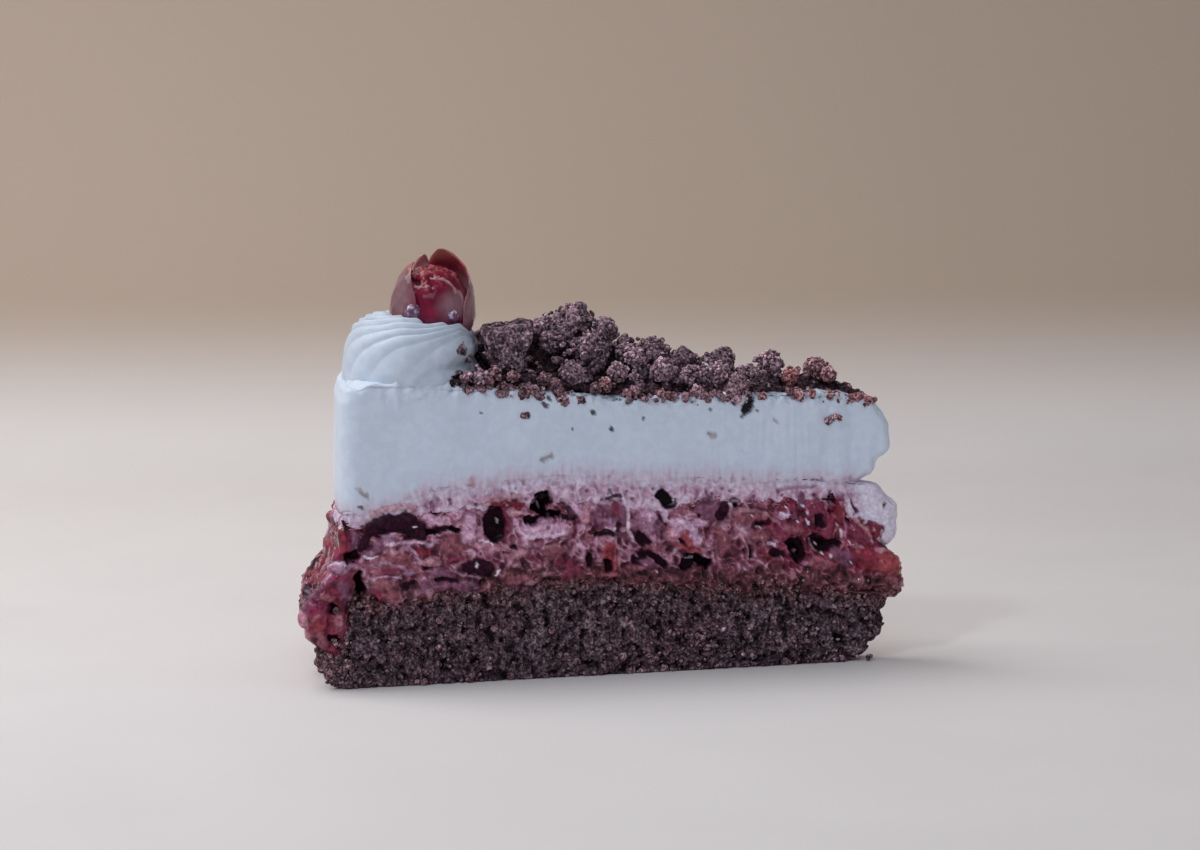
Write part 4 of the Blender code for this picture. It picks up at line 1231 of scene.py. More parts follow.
def cut_height(points, place):
    """Height of the cut cream: broad swells, the knife's streaks, deepest at the tip, and its facets."""
    _, y, z = points.T
    streaks = swells(np.stack([place / 0.8, y / 3, z / 16], 1))
    streaks = streaks + swells(np.stack([place / 2.1, y / 4, z / 22], 1))
    dragged = 0.25 + 3.2 * ease(14, 50, place) * ease(-0.5, 0.5, swells(points / 7))
    facets = 0.6 * ease(34, 58, place) * swells(np.stack([place / 3.2, y / 4, z / 9], 1))
    return 0.22 * rough(points / 13, 2) + 0.07 * streaks * dragged + facets


def cream_relief(points, place):
    """A smooth cut with small crumbs and bubbles, and pink streaks drawn up along its lower edge."""
    x, y, z = points.T
    height = cut_height(points, place)
    bottom = z - stained_high(x, y)
    top = cream_high(x, y) - z
    reach = 4.6 + 1.4 * swells(np.stack([place / 6, y / 9, z / 30], 1))
    drawn_up = rough(np.stack([place / 0.9, y / 3, z / 5], 1), 2)
    fringe = bottom - 1.5 * drawn_up + 0.7 * rough(points / 1.1, 2)
    height += 0.3 * ease(reach, 0.5, fringe) * rough(points * (1, 1, 0.4) / 1.3, 3)
    height += ease(3.8, 0.3, top) * (0.35 + 0.6 * ease(-46, -36, place)) * rough(points / 1.9, 3)
    colour = over(cream_tones(points), LILAC_CREAM, 0.8 * ease(reach + 1.5, 1.5, fringe))
    colour = over(colour, fringe_tones(points, place), ease(0.75 * reach, 0.1, fringe))
    relief = Relief(points, place, height, colour, 0.1)
    relief.lay(FACE_STROKES)
    relief.height -= 0.7 * ease(0.8, -1.6, bottom + 0.6 * rough(points / 1.5, 2))
    return relief


def make_white_cream(look):
    """The thick white band, with the notch at the foot of its tip."""
    grid = layer_skin(
        columns=loop_columns(front_step=0.38, back_step=1.0),
        rows=62,
        tip=CREAM_TIP,
        width=CREAM_TIP_WIDTH,
        distance_of=even_rim(CREAM_RIM),
        low=lambda x, y, along: stained_high(x, y) - STAINED_REACH,
        high=cream_high,
        rings=(0.01, 0.03, 0.06, 0.1, 0.16, 0.24, 0.36, 0.52, 0.7, 0.88),
        edge=2.2,
        corner=4.0,
    )
    finish_layer("whipped_cream", grid, cream_relief, look, "white_cream", "white_cream")


# ---------------------------------------------------------------- rosette

ROSETTE_X, ROSETTE_Y = -42.0, -6.6
ROSETTE_HALF_LENGTH, ROSETTE_HALF_WIDTH = 15.2, 19.6
# Height of its crest round the cherry, as (degrees from +X, height).
ROSETTE_CREST = (
    (-180, 79.0), (-120, 78.7), (-90, 77.5), (-60, 77.2), (-30, 74.7),
    (0, 73.4), (60, 75.5), (120, 78.2), (180, 79.0),
)
ROSETTE_RIDGES = 14
RIDGE_COLUMNS, ROSETTE_ROWS, BOWL_ROWS = 18, 80, 10
ROSETTE_TWIST = 2.0
ROSETTE_SINK = 2.6  # how deep its foot is in the cream
BOWL_DEPTH = 5.0
# Painted shade: the rosette is the same cream as the band, made darker.
ROSETTE_SHADE = 0.87  # its colour beside the band's
CHERRY_X, CHERRY_Y, CHERRY_Z = -36.7, -6.6, 78.8
CHERRY_RADIUS, CHERRY_FOOT = 9.5, 72.0
BOWL_RADIUS = CHERRY_RADIUS + 0.7

# The lowest fold of the rosette, at its right, and the swelling over it.
ROSETTE_STROKES = (
    ("cream", 1.6, -0.6, -38.5, 66.4, -35.5, 67.9, -31.5, 68.8, -27.0, 69.6),
    ("cream", 2.5, 0.7, -34.0, 71.5, -29.0, 71.8),
)


def rosette_edge(angle):
    """How far the rosette's oval foot reaches from the cherry's axis in this direction."""
    from_x = (CHERRY_X - ROSETTE_X) / ROSETTE_HALF_LENGTH
    from_y = (CHERRY_Y - ROSETTE_Y) / ROSETTE_HALF_WIDTH
    step_x, step_y = np.cos(angle) / ROSETTE_HALF_LENGTH, np.sin(angle) / ROSETTE_HALF_WIDTH
    a = step_x**2 + step_y**2
    b = from_x * step_x + from_y * step_y
    return (-b + np.sqrt(b * b - a * (from_x**2 + from_y**2 - 1))) / a


def rosette_rings():
    """Rings of the rosette: its wall of winding ridges, and the bowl under the cherry.

    share runs from 0 at the foot of the wall to 1 at its crest, and crease is 1 between two ridges.
    """
    turns = -np.linspace(0, 2 * math.pi, RIDGE_COLUMNS * ROSETTE_RIDGES, endpoint=False)[None, :]
    share = np.linspace(0, 1, ROSETTE_ROWS)[:, None]
    angle = turns + ROSETTE_TWIST * share**2.6
    to_left = 0.5 - 0.5 * np.cos(angle)
    degrees = (np.degrees(angle) + 180) % 360 - 180
    crest_z = read(ROSETTE_CREST, degrees)
    wave = ROSETTE_RIDGES * turns / 2 + 0.5 * np.sin(3 * turns + 1)
    crease = 1 - np.abs(np.sin(wave)) ** 0.9
    crest_z = crest_z + 2.6 * (0.38 - crease) * share**5
    crest_radius = BOWL_RADIUS * np.sqrt(1 - ((CHERRY_Z - crest_z) / BOWL_RADIUS) ** 2)
    outer = rosette_edge(angle)
    radius = crest_radius + (outer - crest_radius) * np.cos(share * math.pi / 2) ** 0.5
    depth = 0.1 + 0.52 * to_left**1.5
    radius = radius - depth * crease * np.sin(math.pi * (0.1 + 0.86 * share))
    x, y = CHERRY_X + radius * np.cos(angle), CHERRY_Y + radius * np.sin(angle)
    bottom = cream_high(x, y) - ROSETTE_SINK
    z = bottom + (crest_z - bottom) * np.sin(share * math.pi / 2) ** 1.15
    y = np.maximum(y, front_y(x) + 0.5 - 0.75 * ease(0, 3.2, z - bottom))
    wall = np.stack([x, y, z], -1)
    inner = np.linspace(0.92, 0.1, BOWL_ROWS)[:, None, None]
    middle = np.array([CHERRY_X, CHERRY_Y, 0])
    bowl = middle + (wall[-1] - middle) * inner
    bowl[:, :, 2] = wall[-1, :, 2] - BOWL_DEPTH * (1 - inner[:, :, 0] ** 2)
    return np.concatenate([wall, bowl])


def make_rosette(look):
    """The piped rosette, in the same cream as the white band."""
    rings = rosette_rings()
    points = rings.reshape(-1, 3)
    colour = ROSETTE_SHADE * cream_tones(points)
    relief = Relief(points, points[:, 0], 0.2 * rough(points / 5, 2), colour, 0.1)
    relief.lay(ROSETTE_STROKES)
    make_piece("rosette", finish_rings(rings, relief), look, "white_cream", "cream_rosette")


# ---------------------------------------------------------------- cherry

# The petals the cherry is split into, as (middle in degrees from +X, spread to each side, top, how high
# above the cherry's middle its outline closes, turn of its tip, step to the right and back, paint outside,
# paint inside).
CHERRY_PETALS = (
    (110, 26, 92.0, 16.6, 0, (0.0, 0.0), "pale_sheen", "pale_sheen"),
    (12, 62, 93.2, 17.2, 56, (0.0, 1.0), "pale_sheen", "red"),
    (196, 50, 90.8, 13.6, 2, (0.0, 0.0), "sheen", "red"),
)
PETAL_THICK = 1.1
PETAL_ROWS, PETAL_COLUMNS = 72, 88
CORE_RADIUS, CORE_HIGH = 8.5, 11.6
CORE_ROWS, CORE_COLUMNS = 100, 170
SKIN_RED, SKIN_RIM, SKIN_SHEEN = (0.22, 0.026, 0.060), (0.42, 0.14, 0.13), (0.34, 0.150, 0.185)
# Colours of the core's skin and of its torn flesh, as (tone, colour).
CORE_TONES = ((0, (0.120, 0.004, 0.022)), (1, (0.280, 0.018, 0.060)))
FLESH_TONES = ((0, (0.07, 0.002, 0.010)), (0.55, (0.22, 0.012, 0.032)), (1, (0.46, 0.13, 0.16)))
CORE_SHEEN, CORE_FOOT = (0.30, 0.165, 0.200), (0.110, 0.020, 0.060)
SHEEN_X, SHEEN_Z = -32.0, 81.5
DROPS = ((-40.8, -14.0, 80.3, 1.75), (-32.0, -13.9, 79.3, 1.2))  # of glaze, as x, y, z and radius
GLAZE, SPARKLE = (0.17, 0.06, 0.12), (0.56, 0.53, 0.70)

# Torn flesh and the light rim of the front petal, on the front of the cherry.
FLESH_STROKES = (
    ("tan", 0.35, 0.5, -35.2, 87.6, -33.2, 86.6, -31.0, 84.2, -29.7, 81.8, -28.9, 79.0),
    ("red", 0.9, 0.6, -41.6, 88.4, -41.4, 85.0, -41.6, 81.6),
    ("dark", 0.5, -0.7, -40.6, 87.2, -39.8, 86.6),
    ("tan", 0.25, 0.5, -39.6, 85.2, -37.4, 85.9),
    ("dark", 0.4, -0.6, -41.6, 84.2, -41.8, 82.2),
    ("tan", 0.25, 0.5, -36.6, 87.6, -35.4, 88.0),
)


def cherry_radius(z, closing, widest=CHERRY_RADIUS):
    """Radius of a skin at a height; it would close this far above the cherry's middle."""
    above = np.clip((z - CHERRY_Z) / closing, 0, 0.99)
    below = np.clip((CHERRY_Z - z) / (CHERRY_Z - CHERRY_FOOT + 0.2), 0, 0.99)
    return widest * np.sqrt(1 - above**2) * np.sqrt(1 - below**2)


def petal(middle, spread, top, closing, turn, step, outside, inside):
    """A thin curved shell that lies close round the cherry and thins to its edges and its tip.

    v runs from 0 at its foot to 1 at its tip, and u across it, over the outside and back on the inside.
    """
    v = np.linspace(0, 1, PETAL_ROWS)[:, None]
    half = PETAL_COLUMNS // 2
    u = np.concatenate([np.linspace(1, -1, half), np.linspace(-1, 1, half)])[None, :]
    is_inside = np.repeat([0, 1], half)[None, :]
    outline = np.sqrt(np.clip(1 - v**7, 0.03, 1))
    angle = np.radians(middle + turn * v**2 + spread * u * outline * (1 + 0.06 * np.sin(9 * v + 3 * u)))
    z = CHERRY_FOOT + (top - CHERRY_FOOT) * v * (1 - 0.17 * (u * outline) ** 2 * v**2)
    thick = PETAL_THICK * np.sqrt(np.clip(1 - u**4, 0.02, 1)) * (1 - 0.6 * v**3)
    radius = cherry_radius(z, closing) - is_inside * thick
    x = CHERRY_X + step[0] + radius * np.cos(angle)
    y = CHERRY_Y + step[1] + radius * np.sin(angle)
    rings = np.stack([x, y, z], -1)
    points = rings.reshape(-1, 3)
    tone = np.clip(0.5 + 0.45 * rough(points / 3.4, 2), 0, 1)
    edge = np.broadcast_to(ease(0.6, 0.98, np.abs(u)), z.shape).ravel()
    low = ease(82, 77.5, points[:, 2])
    # The outside is painted sheen over the skin's own red, which shows at its edges and its foot.
    colour = tones(tone, (0, PAINTS[outside][0]), (1, PAINTS[outside][1]))
    colour = over(colour, SKIN_RED, np.maximum(0.4 * low, 0.5 * edge))
    flesh = tones(tone, (0, PAINTS[inside][0]), (1, PAINTS[inside][1]))
    # Lower down, the inside is painted with sheen as well.
    flesh = over(flesh, SKIN_SHEEN, 0.75 * ease(89.5, 84.0, points[:, 2]))
    colour = over(colour, flesh, np.broadcast_to(is_inside, z.shape).ravel())
    colour = over(colour, SKIN_RIM, 0.8 * ease(0.86, 0.97, np.repeat(v, PETAL_COLUMNS)))
    relief = Relief(points, points[:, 0], 0.2 * rough(points / 3, 2), colour, 1.0)
    return finish_rings(rings, relief)


def cherry_core():
    """The body of the cherry between the petals, torn open at its top. v runs from its foot to its top."""
    turns = -np.linspace(0, 2 * math.pi, CORE_COLUMNS, endpoint=False)[None, :]
    v = np.linspace(0, 1, CORE_ROWS)[:, None]
    z = CHERRY_FOOT + 0.4 + (CHERRY_Z + CORE_HIGH - 1.0 - CHERRY_FOOT) * np.sin(v * math.pi / 2) ** 1.1
    radius = cherry_radius(z, CORE_HIGH, CORE_RADIUS) * (1 - v**12)
    x, y = CHERRY_X + radius * np.cos(turns), CHERRY_Y + radius * np.sin(turns)
    rings = np.stack([x, y, z + 0 * turns], -1)
    points = rings.reshape(-1, 3)
    x, y, z = points.T
    torn = ease(84.0, 86.5, z + 1.2 * swells(points / 2) - 0.35 * np.maximum(x - CHERRY_X, 0))
    shreds = rough(points * (1, 1, 0.5) / 1.3, 3)
    bumps = rough(points / 3.2, 2)
    from_sheen = np.hypot(x - SHEEN_X, 1.1 * (z - SHEEN_Z)) + 0.8 * swells(points / 2.5)
    colour = over(tones(0.5 + 0.5 * bumps, *CORE_TONES), CORE_SHEEN, 0.85 * ease(5.0, 1.0, from_sheen))
    colour = over(colour, CORE_FOOT, 0.8 * ease(79.5, 77.0, z))
    flesh = tones(0.5 + 0.6 * shreds, *FLESH_TONES)
    relief = Relief(points, x, torn * (0.24 * shreds + 0.5 * bumps), over(colour, flesh, torn), 0.95)
    relief.lay(FLESH_STROKES)
    return finish_rings(rings, relief)


def drop(x, y, z, radius):
    """A drop of glaze, with painted highlights over all but its underside."""
    unit, faces = ball(4)
    points = unit * radius * (1, 1, 1.1) + (x, y, z)
    sparkle = ease(-0.2, 0.6, rough(points / 0.7, 3)) * ease(-0.8, 0.2, unit[:, 2])
    colour = over(np.tile(GLAZE, (len(points), 1)), SPARKLE, sparkle)
    return points, faces.tolist(), (colour, np.ones(len(points)))


def make_cherry():
    """The glazed cherry: its body, the petals round it and the drops of glaze at its foot."""
    look = painted_look("cherry", size=1.4, darkest=0.85, lightest=1.15, depth=0.05, dull=0.4,
                        shine=0.03, coat=0.9, soft=0.12, bleed=(1.0, 0.3, 0.25))
    shells = [petal(*shape) for shape in CHERRY_PETALS]
    drops = [drop(*shape) for shape in DROPS]
    shape = joined(cherry_core(), *shells, *drops)
    make_piece("split_cherry", shape, look, "glazed_cherry", "topping_cherry")


# ---------------------------------------------------------------- crumbs


def cad_mesh(node):
    """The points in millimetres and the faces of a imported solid."""
    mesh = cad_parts[node].data
    points = np.array([vert.co for vert in mesh.vertices]) / MM
    return points, [tuple(polygon.vertices) for polygon in mesh.polygons]


FAR = 200.0  # where the rays start that look for a solid's surface


class Surface:
    """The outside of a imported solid."""

    def __init__(self, node):
        points, faces = cad_mesh(node)
        self.tree = BVHTree.FromPolygons([Vector(point) for point in points], faces)

    def height(self, x, y):
        """Height of the solid's top here, or None beside it."""
        hit = self.tree.ray_cast(Vector((x, y, FAR)), Vector((0, 0, -1)))[0]
        return None if hit is None else hit.z

    def front(self, x, z):
        """y of the solid's front side here."""
        return self.tree.ray_cast(Vector((x, -FAR, z)), Vector((0, 1, 0)))[0].y


def refined(node, cuts):
    """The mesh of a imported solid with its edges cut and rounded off, as points, normals and faces."""
    grid = bmesh.new()
    grid.from_mesh(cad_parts[node].data)
    bmesh.ops.scale(grid, vec=(1 / MM, 1 / MM, 1 / MM), verts=grid.verts)
    bmesh.ops.remove_doubles(grid, verts=grid.verts, dist=0.001)
    for _ in range(cuts):
        bmesh.ops.subdivide_edges(grid, edges=grid.edges[:], cuts=1, use_grid_fill=True)
        bmesh.ops.smooth_vert(
            grid, verts=grid.verts, factor=0.5, use_axis_x=True, use_axis_y=True, use_axis_z=True
        )
    bmesh.ops.recalc_face_normals(grid, faces=grid.faces)
    grid.normal_update()
    points = np.array([vert.co for vert in grid.verts])
    normals = np.array([vert.normal for vert in grid.verts])
    faces = [tuple(vert.index for vert in face.verts) for face in grid.faces]
    grid.free()
    return points, normals, faces


def ball(level):
    """A unit ball of triangles."""
    grid = bmesh.new()
    bmesh.ops.create_icosphere(grid, subdivisions=level, radius=1.0)
    points = np.array([vert.co for vert in grid.verts])
    faces = np.array([[vert.index for vert in face.verts] for face in grid.faces])
    grid.free()
    return points, faces


def random_turns(count):
    """Random rotation matrices."""
    q = draw.normal(size=(count, 4))
    w, x, y, z = (q / np.linalg.norm(q, axis=1, keepdims=True)).T
    return np.stack([
        np.stack([1 - 2 * (y * y + z * z), 2 * (x * y - z * w), 2 * (x * z + y * w)], -1),
        np.stack([2 * (x * y + z * w), 1 - 2 * (x * x + z * z), 2 * (y * z - x * w)], -1),
        np.stack([2 * (x * z - y * w), 2 * (y * z + x * w), 1 - 2 * (x * x + y * y)], -1),
    ], 1)


# Painted light: the heap's crumbs, of the same sponge, are painted lighter and a little cooler than it.
HEAP_PAINTED_LIGHT = (1.34, 1.40, 1.42)  # the heap's crumbs are lighter than the sponge
SHADE_END, LIGHT_START = -8.0, 14.0  # x where the cherry's shade on them begins and stops to thin out


NOISE_STRETCH = 90.0  # each lump takes its relief from somewhere else in this much noise
CRUMB_GLOSS = 0.05


def rough_lumps(unit, places, sizes, clump, grain):
    """A rough, stretched and turned copy of the unit ball for each place, and the tone of its points."""
    count = len(places)
    stretch = draw.uniform(0.6, 1.25, (count, 1, 3))
    shape = unit[None] * stretch * sizes
    away = draw.uniform(0, NOISE_STRETCH, (count, 1, 3))
    samples = (shape + away).reshape(-1, 3)
    clumps, clump_share = domes(samples / clump, 0.85)
    crags = rough(samples / grain, 3)
    ridges = 1 - 2.2 * np.abs(swells(samples / (0.7 * grain)))
    grow = 1 + 0.32 * swells(samples / 3.0).reshape(count, -1, 1)
    rise = 0.36 * clump * (clumps - 0.75) + 0.3 * grain * crags + 0.14 * grain * ridges
    rise = rise.reshape(count, -1, 1) * np.minimum(sizes / 1.6, 1)
    shape = shape * grow + unit[None] * np.maximum(rise, -0.5 * sizes)
    points = np.einsum("nij,nkj->nki", random_turns(count), shape) + places[:, None, :]
    # The tone is partly painted light and shade: lighter on the clumps, crags and ridges that stand out,
    # darker between them.
    tone = 0.08 + 0.26 * crags + 0.26 * np.maximum(ridges, 0) + 0.4 * clumps + 0.16 * (clump_share - 0.5)
    return points.reshape(-1, 3), np.clip(tone, 0, 1)


def crumbs(places, sizes, rust, level, clump, grain=1.3, light=None, painted_light=HEAP_PAINTED_LIGHT):
    """Broken lumps of crumb, each a cluster of rough grains: points, faces and paint.

    level is how finely the lumps are divided, clump and grain are the sizes of their relief, and light is
    how light each lump is. Away from the cherry's shade they are lighter.
    """
    unit, unit_faces = ball(level)
    count = len(places)
    places, sizes = np.asarray(places, float), np.asarray(sizes, float)[:, None, None] / 2
    points, tone = rough_lumps(unit, places, sizes, clump, grain)
    faces = (unit_faces[None] + len(unit) * np.arange(count)[:, None, None]).reshape(-1, 3)
    light = draw.uniform(0.8, 1.6, count) if light is None else light
    light = light * (1 + 0.28 * ease(SHADE_END, LIGHT_START, places[:, 0]))
    # The last factor paints the heap's crumbs lighter than the sponge: painted light.
    colour = crumb_tones(tone, np.repeat(rust, len(unit))) * np.repeat(light, len(unit))[:, None] * painted_light
    return points, faces.tolist(), (colour, np.full(len(colour), CRUMB_GLOSS))


def crusted(places, sizes, rust, level, clump, grains):
    """Lumps of crumb with this many smaller grains stuck all over each."""
    places, sizes = np.asarray(places, float), np.asarray(sizes, float)
    light = draw.uniform(0.85, 1.75, len(places))
    # The lump under the grains is painted darker than they are: painted shade between them.
    lumps = crumbs(places, 0.86 * sizes, rust, level, clump, light=0.7 * light)
    away = draw.normal(size=(len(places), grains, 3))
    away /= np.linalg.norm(away, axis=2, keepdims=True)
    spread = draw.uniform(0.36, 0.5, (len(places), grains, 1)) * sizes[:, None, None]
    stuck = (places[:, None, :] + away * spread).reshape(-1, 3)
    small = 0.6 + 0.9 * draw.random(len(stuck)) ** 2
    # Grains on a lump's top are painted lighter and those under it darker: painted light from above.
    lit = light[:, None] * (0.95 + 0.45 * away[:, :, 2]) * draw.uniform(0.85, 1.15, away.shape[:2])
    on_each = np.repeat(rust, grains)
    crust = crumbs(stuck, small, on_each, level=1, clump=0.9, grain=0.6, light=lit.ravel())
    return joined(lumps, crust)


# The lumps that stand up along the heap, as (x, y, z of the middle, size).
KEY_LUMPS = (
    (-5.6, -2.0, 77.2, 7.4), (1.3, -3.0, 75.2, 5.4), (-12.9, -1.0, 75.0, 5.4), (-10.7, -8.0, 72.8, 5.4),
    (-2.8, -9.0, 71.6, 7.2), (-6.4, -14.5, 66.7, 5.6), (3.7, -13.0, 66.5, 4.4), (11.9, -2.0, 69.0, 8.4),
    (18.0, -3.0, 67.9, 5.6), (13.8, -10.0, 66.5, 5.0), (5.7, -4.0, 69.9, 4.6), (7.6, -8.0, 69.2, 4.2),
    (27.5, -1.0, 67.8, 5.2), (26.0, -7.0, 65.5, 5.0), (37.9, -1.0, 66.8, 5.8), (48.0, -0.5, 65.4, 5.6),
    (32.6, -6.0, 64.5, 5.0), (42.1, -4.0, 64.3, 3.6), (30.2, -8.0, 62.9, 5.0), (50.7, -3.0, 64.6, 3.2),
    (-9.0, -3.0, 72.0, 6.5), (-1.0, -4.0, 71.5, 7.0), (22.4, -3.0, 64.6, 4.6), (20.0, -8.0, 65.0, 4.8),
)
KEY_RUST = {15: 0.4, 17: 0.9, 18: 0.2, 19: 0.5}  # the redder ones, by their place in the list


TRIES = 60  # for each place that is asked for


def heap_places(heap, cream, count, smallest_rise, apart):
    """Places spread over the heap, at least this far apart and where it is at least this high."""
    places = []
    low, high = (np.array(corner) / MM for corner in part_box("crumb_heap"))
    tries = 0
    while len(places) < count and tries < TRIES * count:
        tries += 1
        x, y = draw.uniform(low[0], high[0]), draw.uniform(low[1], high[1])
        top, base = heap.height(x, y), cream.height(x, y)
        if top is None or base is None or top - base < smallest_rise:
            continue
        if places and np.min(np.hypot(*(np.array(places)[:, :2] - (x, y)).T)) < apart:
            continue
        places.append((x, y, top, top - base))
    return np.array(places)


def rust_of(places):
    """How red crumbs are: redder towards the tip and the front edge, where juice reaches them."""
    x, y = np.asarray(places, float).T[:2]
    share = 0.4 * ease(30, 55, x) + 0.42 * ease(3.5, 0.5, y - front_y(x)) + 0.1
    return np.clip(share * draw.uniform(0.0, 1.4, len(x)), 0, 1)


EDGE_FROM, EDGE_TO = -31.0, 61.0
CLUSTER_SIZE, CLUSTER_SPREAD = 7, 1.6  # crumbs in a cluster, and how far apart they lie


def edge_places(count):
    """Places along the front top edge of the cream, in clusters, some of them hanging over it."""
    middles = draw.uniform(EDGE_FROM, EDGE_TO, count // CLUSTER_SIZE)
    x = draw.choice(middles, count) + draw.normal(0, CLUSTER_SPREAD, count)
    x = np.clip(x, EDGE_FROM - 1, EDGE_TO)
    hang = draw.uniform(0, 1, count) ** 2.2
    y = front_y(x) + 1.2 - 1.5 * hang
    return np.stack([x, y, cream_high(x, y) + 0.3 - 2.2 * hang * draw.random(count)], 1)


# Crumbs that hang over the front edge, are dragged down the front or stick on the rosette, as (x, z, size).
FACE_CRUMBS = (
    (-29.2, 66.6, 2.4), (-23.0, 67.4, 3.0), (-19.2, 66.4, 2.4), (-12.4, 65.8, 3.0), (-10.2, 64.6, 2.2),
    (-26.0, 66.6, 3.4), (-24.6, 66.0, 2.2), (-21.4, 64.4, 2.2), (-21.2, 63.0, 1.7), (-16.0, 63.6, 3.2),
    (-14.6, 63.4, 1.8), (-17.2, 62.4, 1.4), (-8.2, 60.8, 2.0), (-9.2, 61.6, 1.4), (-4.6, 61.0, 1.7),
    (1.0, 64.2, 3.0), (-1.2, 63.4, 2.2), (5.6, 61.8, 2.1), (7.4, 62.6, 1.8), (13.2, 61.8, 1.6),
    (21.4, 62.0, 2.6), (22.2, 60.8, 1.4), (27.4, 60.6, 2.0), (29.4, 61.9, 4.2), (35.8, 60.3, 1.4),
    (41.8, 61.2, 1.5), (59.0, 58.5, 2.4), (57.4, 59.2, 1.6), (-17.0, 58.1, 0.9), (-16.2, 58.2, 0.8),
    (51.2, 54.8, 1.8), (52.5, 55.2, 2.1), (50.2, 54.3, 1.1),
)
# Crumbs on the side of the rosette, as (x, z, size).
ROSETTE_CRUMBS = (
    (-30.9, 73.3, 1.7), (-30.2, 72.3, 2.0), (-29.4, 71.0, 2.0), (-28.9, 70.2, 1.2), (-31.3, 72.2, 0.9),
)
ROSETTE_CRUMBS_TOP = 73.3
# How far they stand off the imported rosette, and how much further for each millimetre below the top one.
ROSETTE_CRUMBS_PROUD, ROSETTE_CRUMBS_LEAN = 1.6, 0.5


def sunk(places, depths):
    """Places on the heap, each lowered by its depth."""
    lowered = places[:, :3].copy()
    lowered[:, 2] -= depths
    return lowered


def make_core(look):
    """The smaller core under the loose crumbs, painted dark as the shade in the gaps between them."""
    points, normals, faces = refined("crumb_heap", cuts=2)
    thick = points[:, 2] - cream_high(points[:, 0], points[:, 1])
    height, tone = broken_crumb(points / 1.3)
    height += 0.9 * rough(points / 2.6, 2) - 4.2 * ease(0, 8, thick)
    # Lighter towards +X, out of the cherry's shade: painted shade.
    light = 0.4 + 0.25 * ease(0, 14, points[:, 0])
    colour = crumb_tones(light * tone, np.full(len(points), 0.1))
    shape = points + normals * height[:, None], faces, (colour, np.zeros(len(points)))
    make_piece("crumb_core", shape, look, "chocolate_crumbs", "crumb_heap")


def make_tall(look):
    """The lumps that stand up along the heap."""
    x, y, z, sizes = np.array(KEY_LUMPS).T
    rust = np.array([KEY_RUST.get(i, 0.1) for i in range(len(sizes))])
    shape = crusted(np.stack([x, y, z], 1), sizes, rust, level=4, clump=2.2, grains=158)
    make_piece("crumbs_tall", shape, look, "chocolate_crumbs")


def make_large(look, heap, cream):
    """Lumps spread over the thick of the heap."""
    spots = heap_places(heap, cream, count=38, smallest_rise=2.6, apart=4.8)
    sizes = np.clip(spots[:, 3] * 0.6, 2.6, 4.6) * draw.uniform(0.75, 1.1, len(spots))
    places = sunk(spots, 1.1 * sizes)
    shape = crusted(places, sizes, rust_of(spots), level=3, clump=1.9, grains=92)
    make_piece("crumbs_large", shape, look, "chocolate_crumbs")


def make_medium(look, heap, cream):
    """Crumbs between the lumps, half sunk and partly in their shade."""
    spots = heap_places(heap, cream, count=190, smallest_rise=0.6, apart=2.2)
    sizes = draw.uniform(1.7, 3.2, len(spots))
    depths = sizes * draw.uniform(0.8, 1.6, len(spots))
    light = draw.uniform(0.5, 1.2, len(spots))
    places = sunk(spots, depths)
    shape = crumbs(places, sizes, rust_of(spots), level=3, clump=1.6, grain=0.9, light=light)
    make_piece("crumbs_medium", shape, look, "chocolate_crumbs")


def make_small(look, heap, cream):
    """Loose grains on the heap and along the front edge."""
    spots = sunk(heap_places(heap, cream, count=380, smallest_rise=0.3, apart=0.5), 0.7)
    edge = edge_places(count=230)
    on_heap = draw.uniform(0.7, 1.6, len(spots))
    sizes = np.concatenate([on_heap, 0.6 + 2.0 * draw.random(len(edge)) ** 2.5])
    places = np.concatenate([spots, edge])
    shape = crumbs(places, sizes, rust_of(places), level=2, clump=1.0, grain=0.6)
    make_piece("crumbs_small", shape, look, "chocolate_crumbs")


def make_hanging(look):
    """Crumbs on the front face and on the rosette, half in the cream."""
    x, z, sizes = np.array(FACE_CRUMBS).T
    on_face = np.stack([x, front_y(x) + 0.25 * sizes, z], 1)
    rosette = Surface("cream_rosette")
    on_rosette = []
    for x, z, _ in ROSETTE_CRUMBS:
        y = rosette.front(x, z) - ROSETTE_CRUMBS_PROUD - ROSETTE_CRUMBS_LEAN * (ROSETTE_CRUMBS_TOP - z)
        on_rosette.append((x, y, z))
    places = np.concatenate([on_face, on_rosette])
    sizes = np.concatenate([sizes, [size for _, _, size in ROSETTE_CRUMBS]])
    shape = crusted(places, sizes, 0.8 * rust_of(places), level=2, clump=1.2, grains=40)
    make_piece("crumbs_hanging", shape, look, "chocolate_crumbs")


def make_crumbs(look):
    """The heap of chocolate crumbs, from its core to its loose grains."""
    heap, cream = Surface("crumb_heap"), Surface("white_cream")
    make_core(look)
    make_tall(look)
    make_large(look, heap, cream)
    make_medium(look, heap, cream)
    make_small(look, heap, cream)
    make_hanging(look)


# Crumbs of sponge that hang together under the run, beside the foot of the rim, as (x, z, size).
RIM_CRUMBS = (
    (-61.4, 8.6, 1.6), (-61.0, 7.2, 2.0), (-61.8, 6.2, 1.6), (-60.4, 5.8, 2.2), (-61.0, 4.6, 1.6),
    (-59.2, 7.6, 2.8), (-59.0, 5.2, 2.6), (-59.8, 3.4, 1.4), (-58.8, 2.0, 2.2), (-58.4, 10.0, 2.2),
    (-57.4, 1.3, 2.8), (-57.2, 3.6, 2.8), (-57.6, 5.6, 2.8), (-57.0, 7.8, 2.8), (-56.6, 2.4, 2.6),
    (-56.8, 9.6, 2.4), (-56.2, 5.0, 2.6), (-56.2, 11.4, 2.2), (-55.9, 0.9, 2.0), (-57.2, 12.6, 1.4),
)
BIT_COUNT = 880
BITS_FROM, BITS_TO, BITS_TOP = -58.0, 61.0, 20.0  # the stretch of the front face that has them
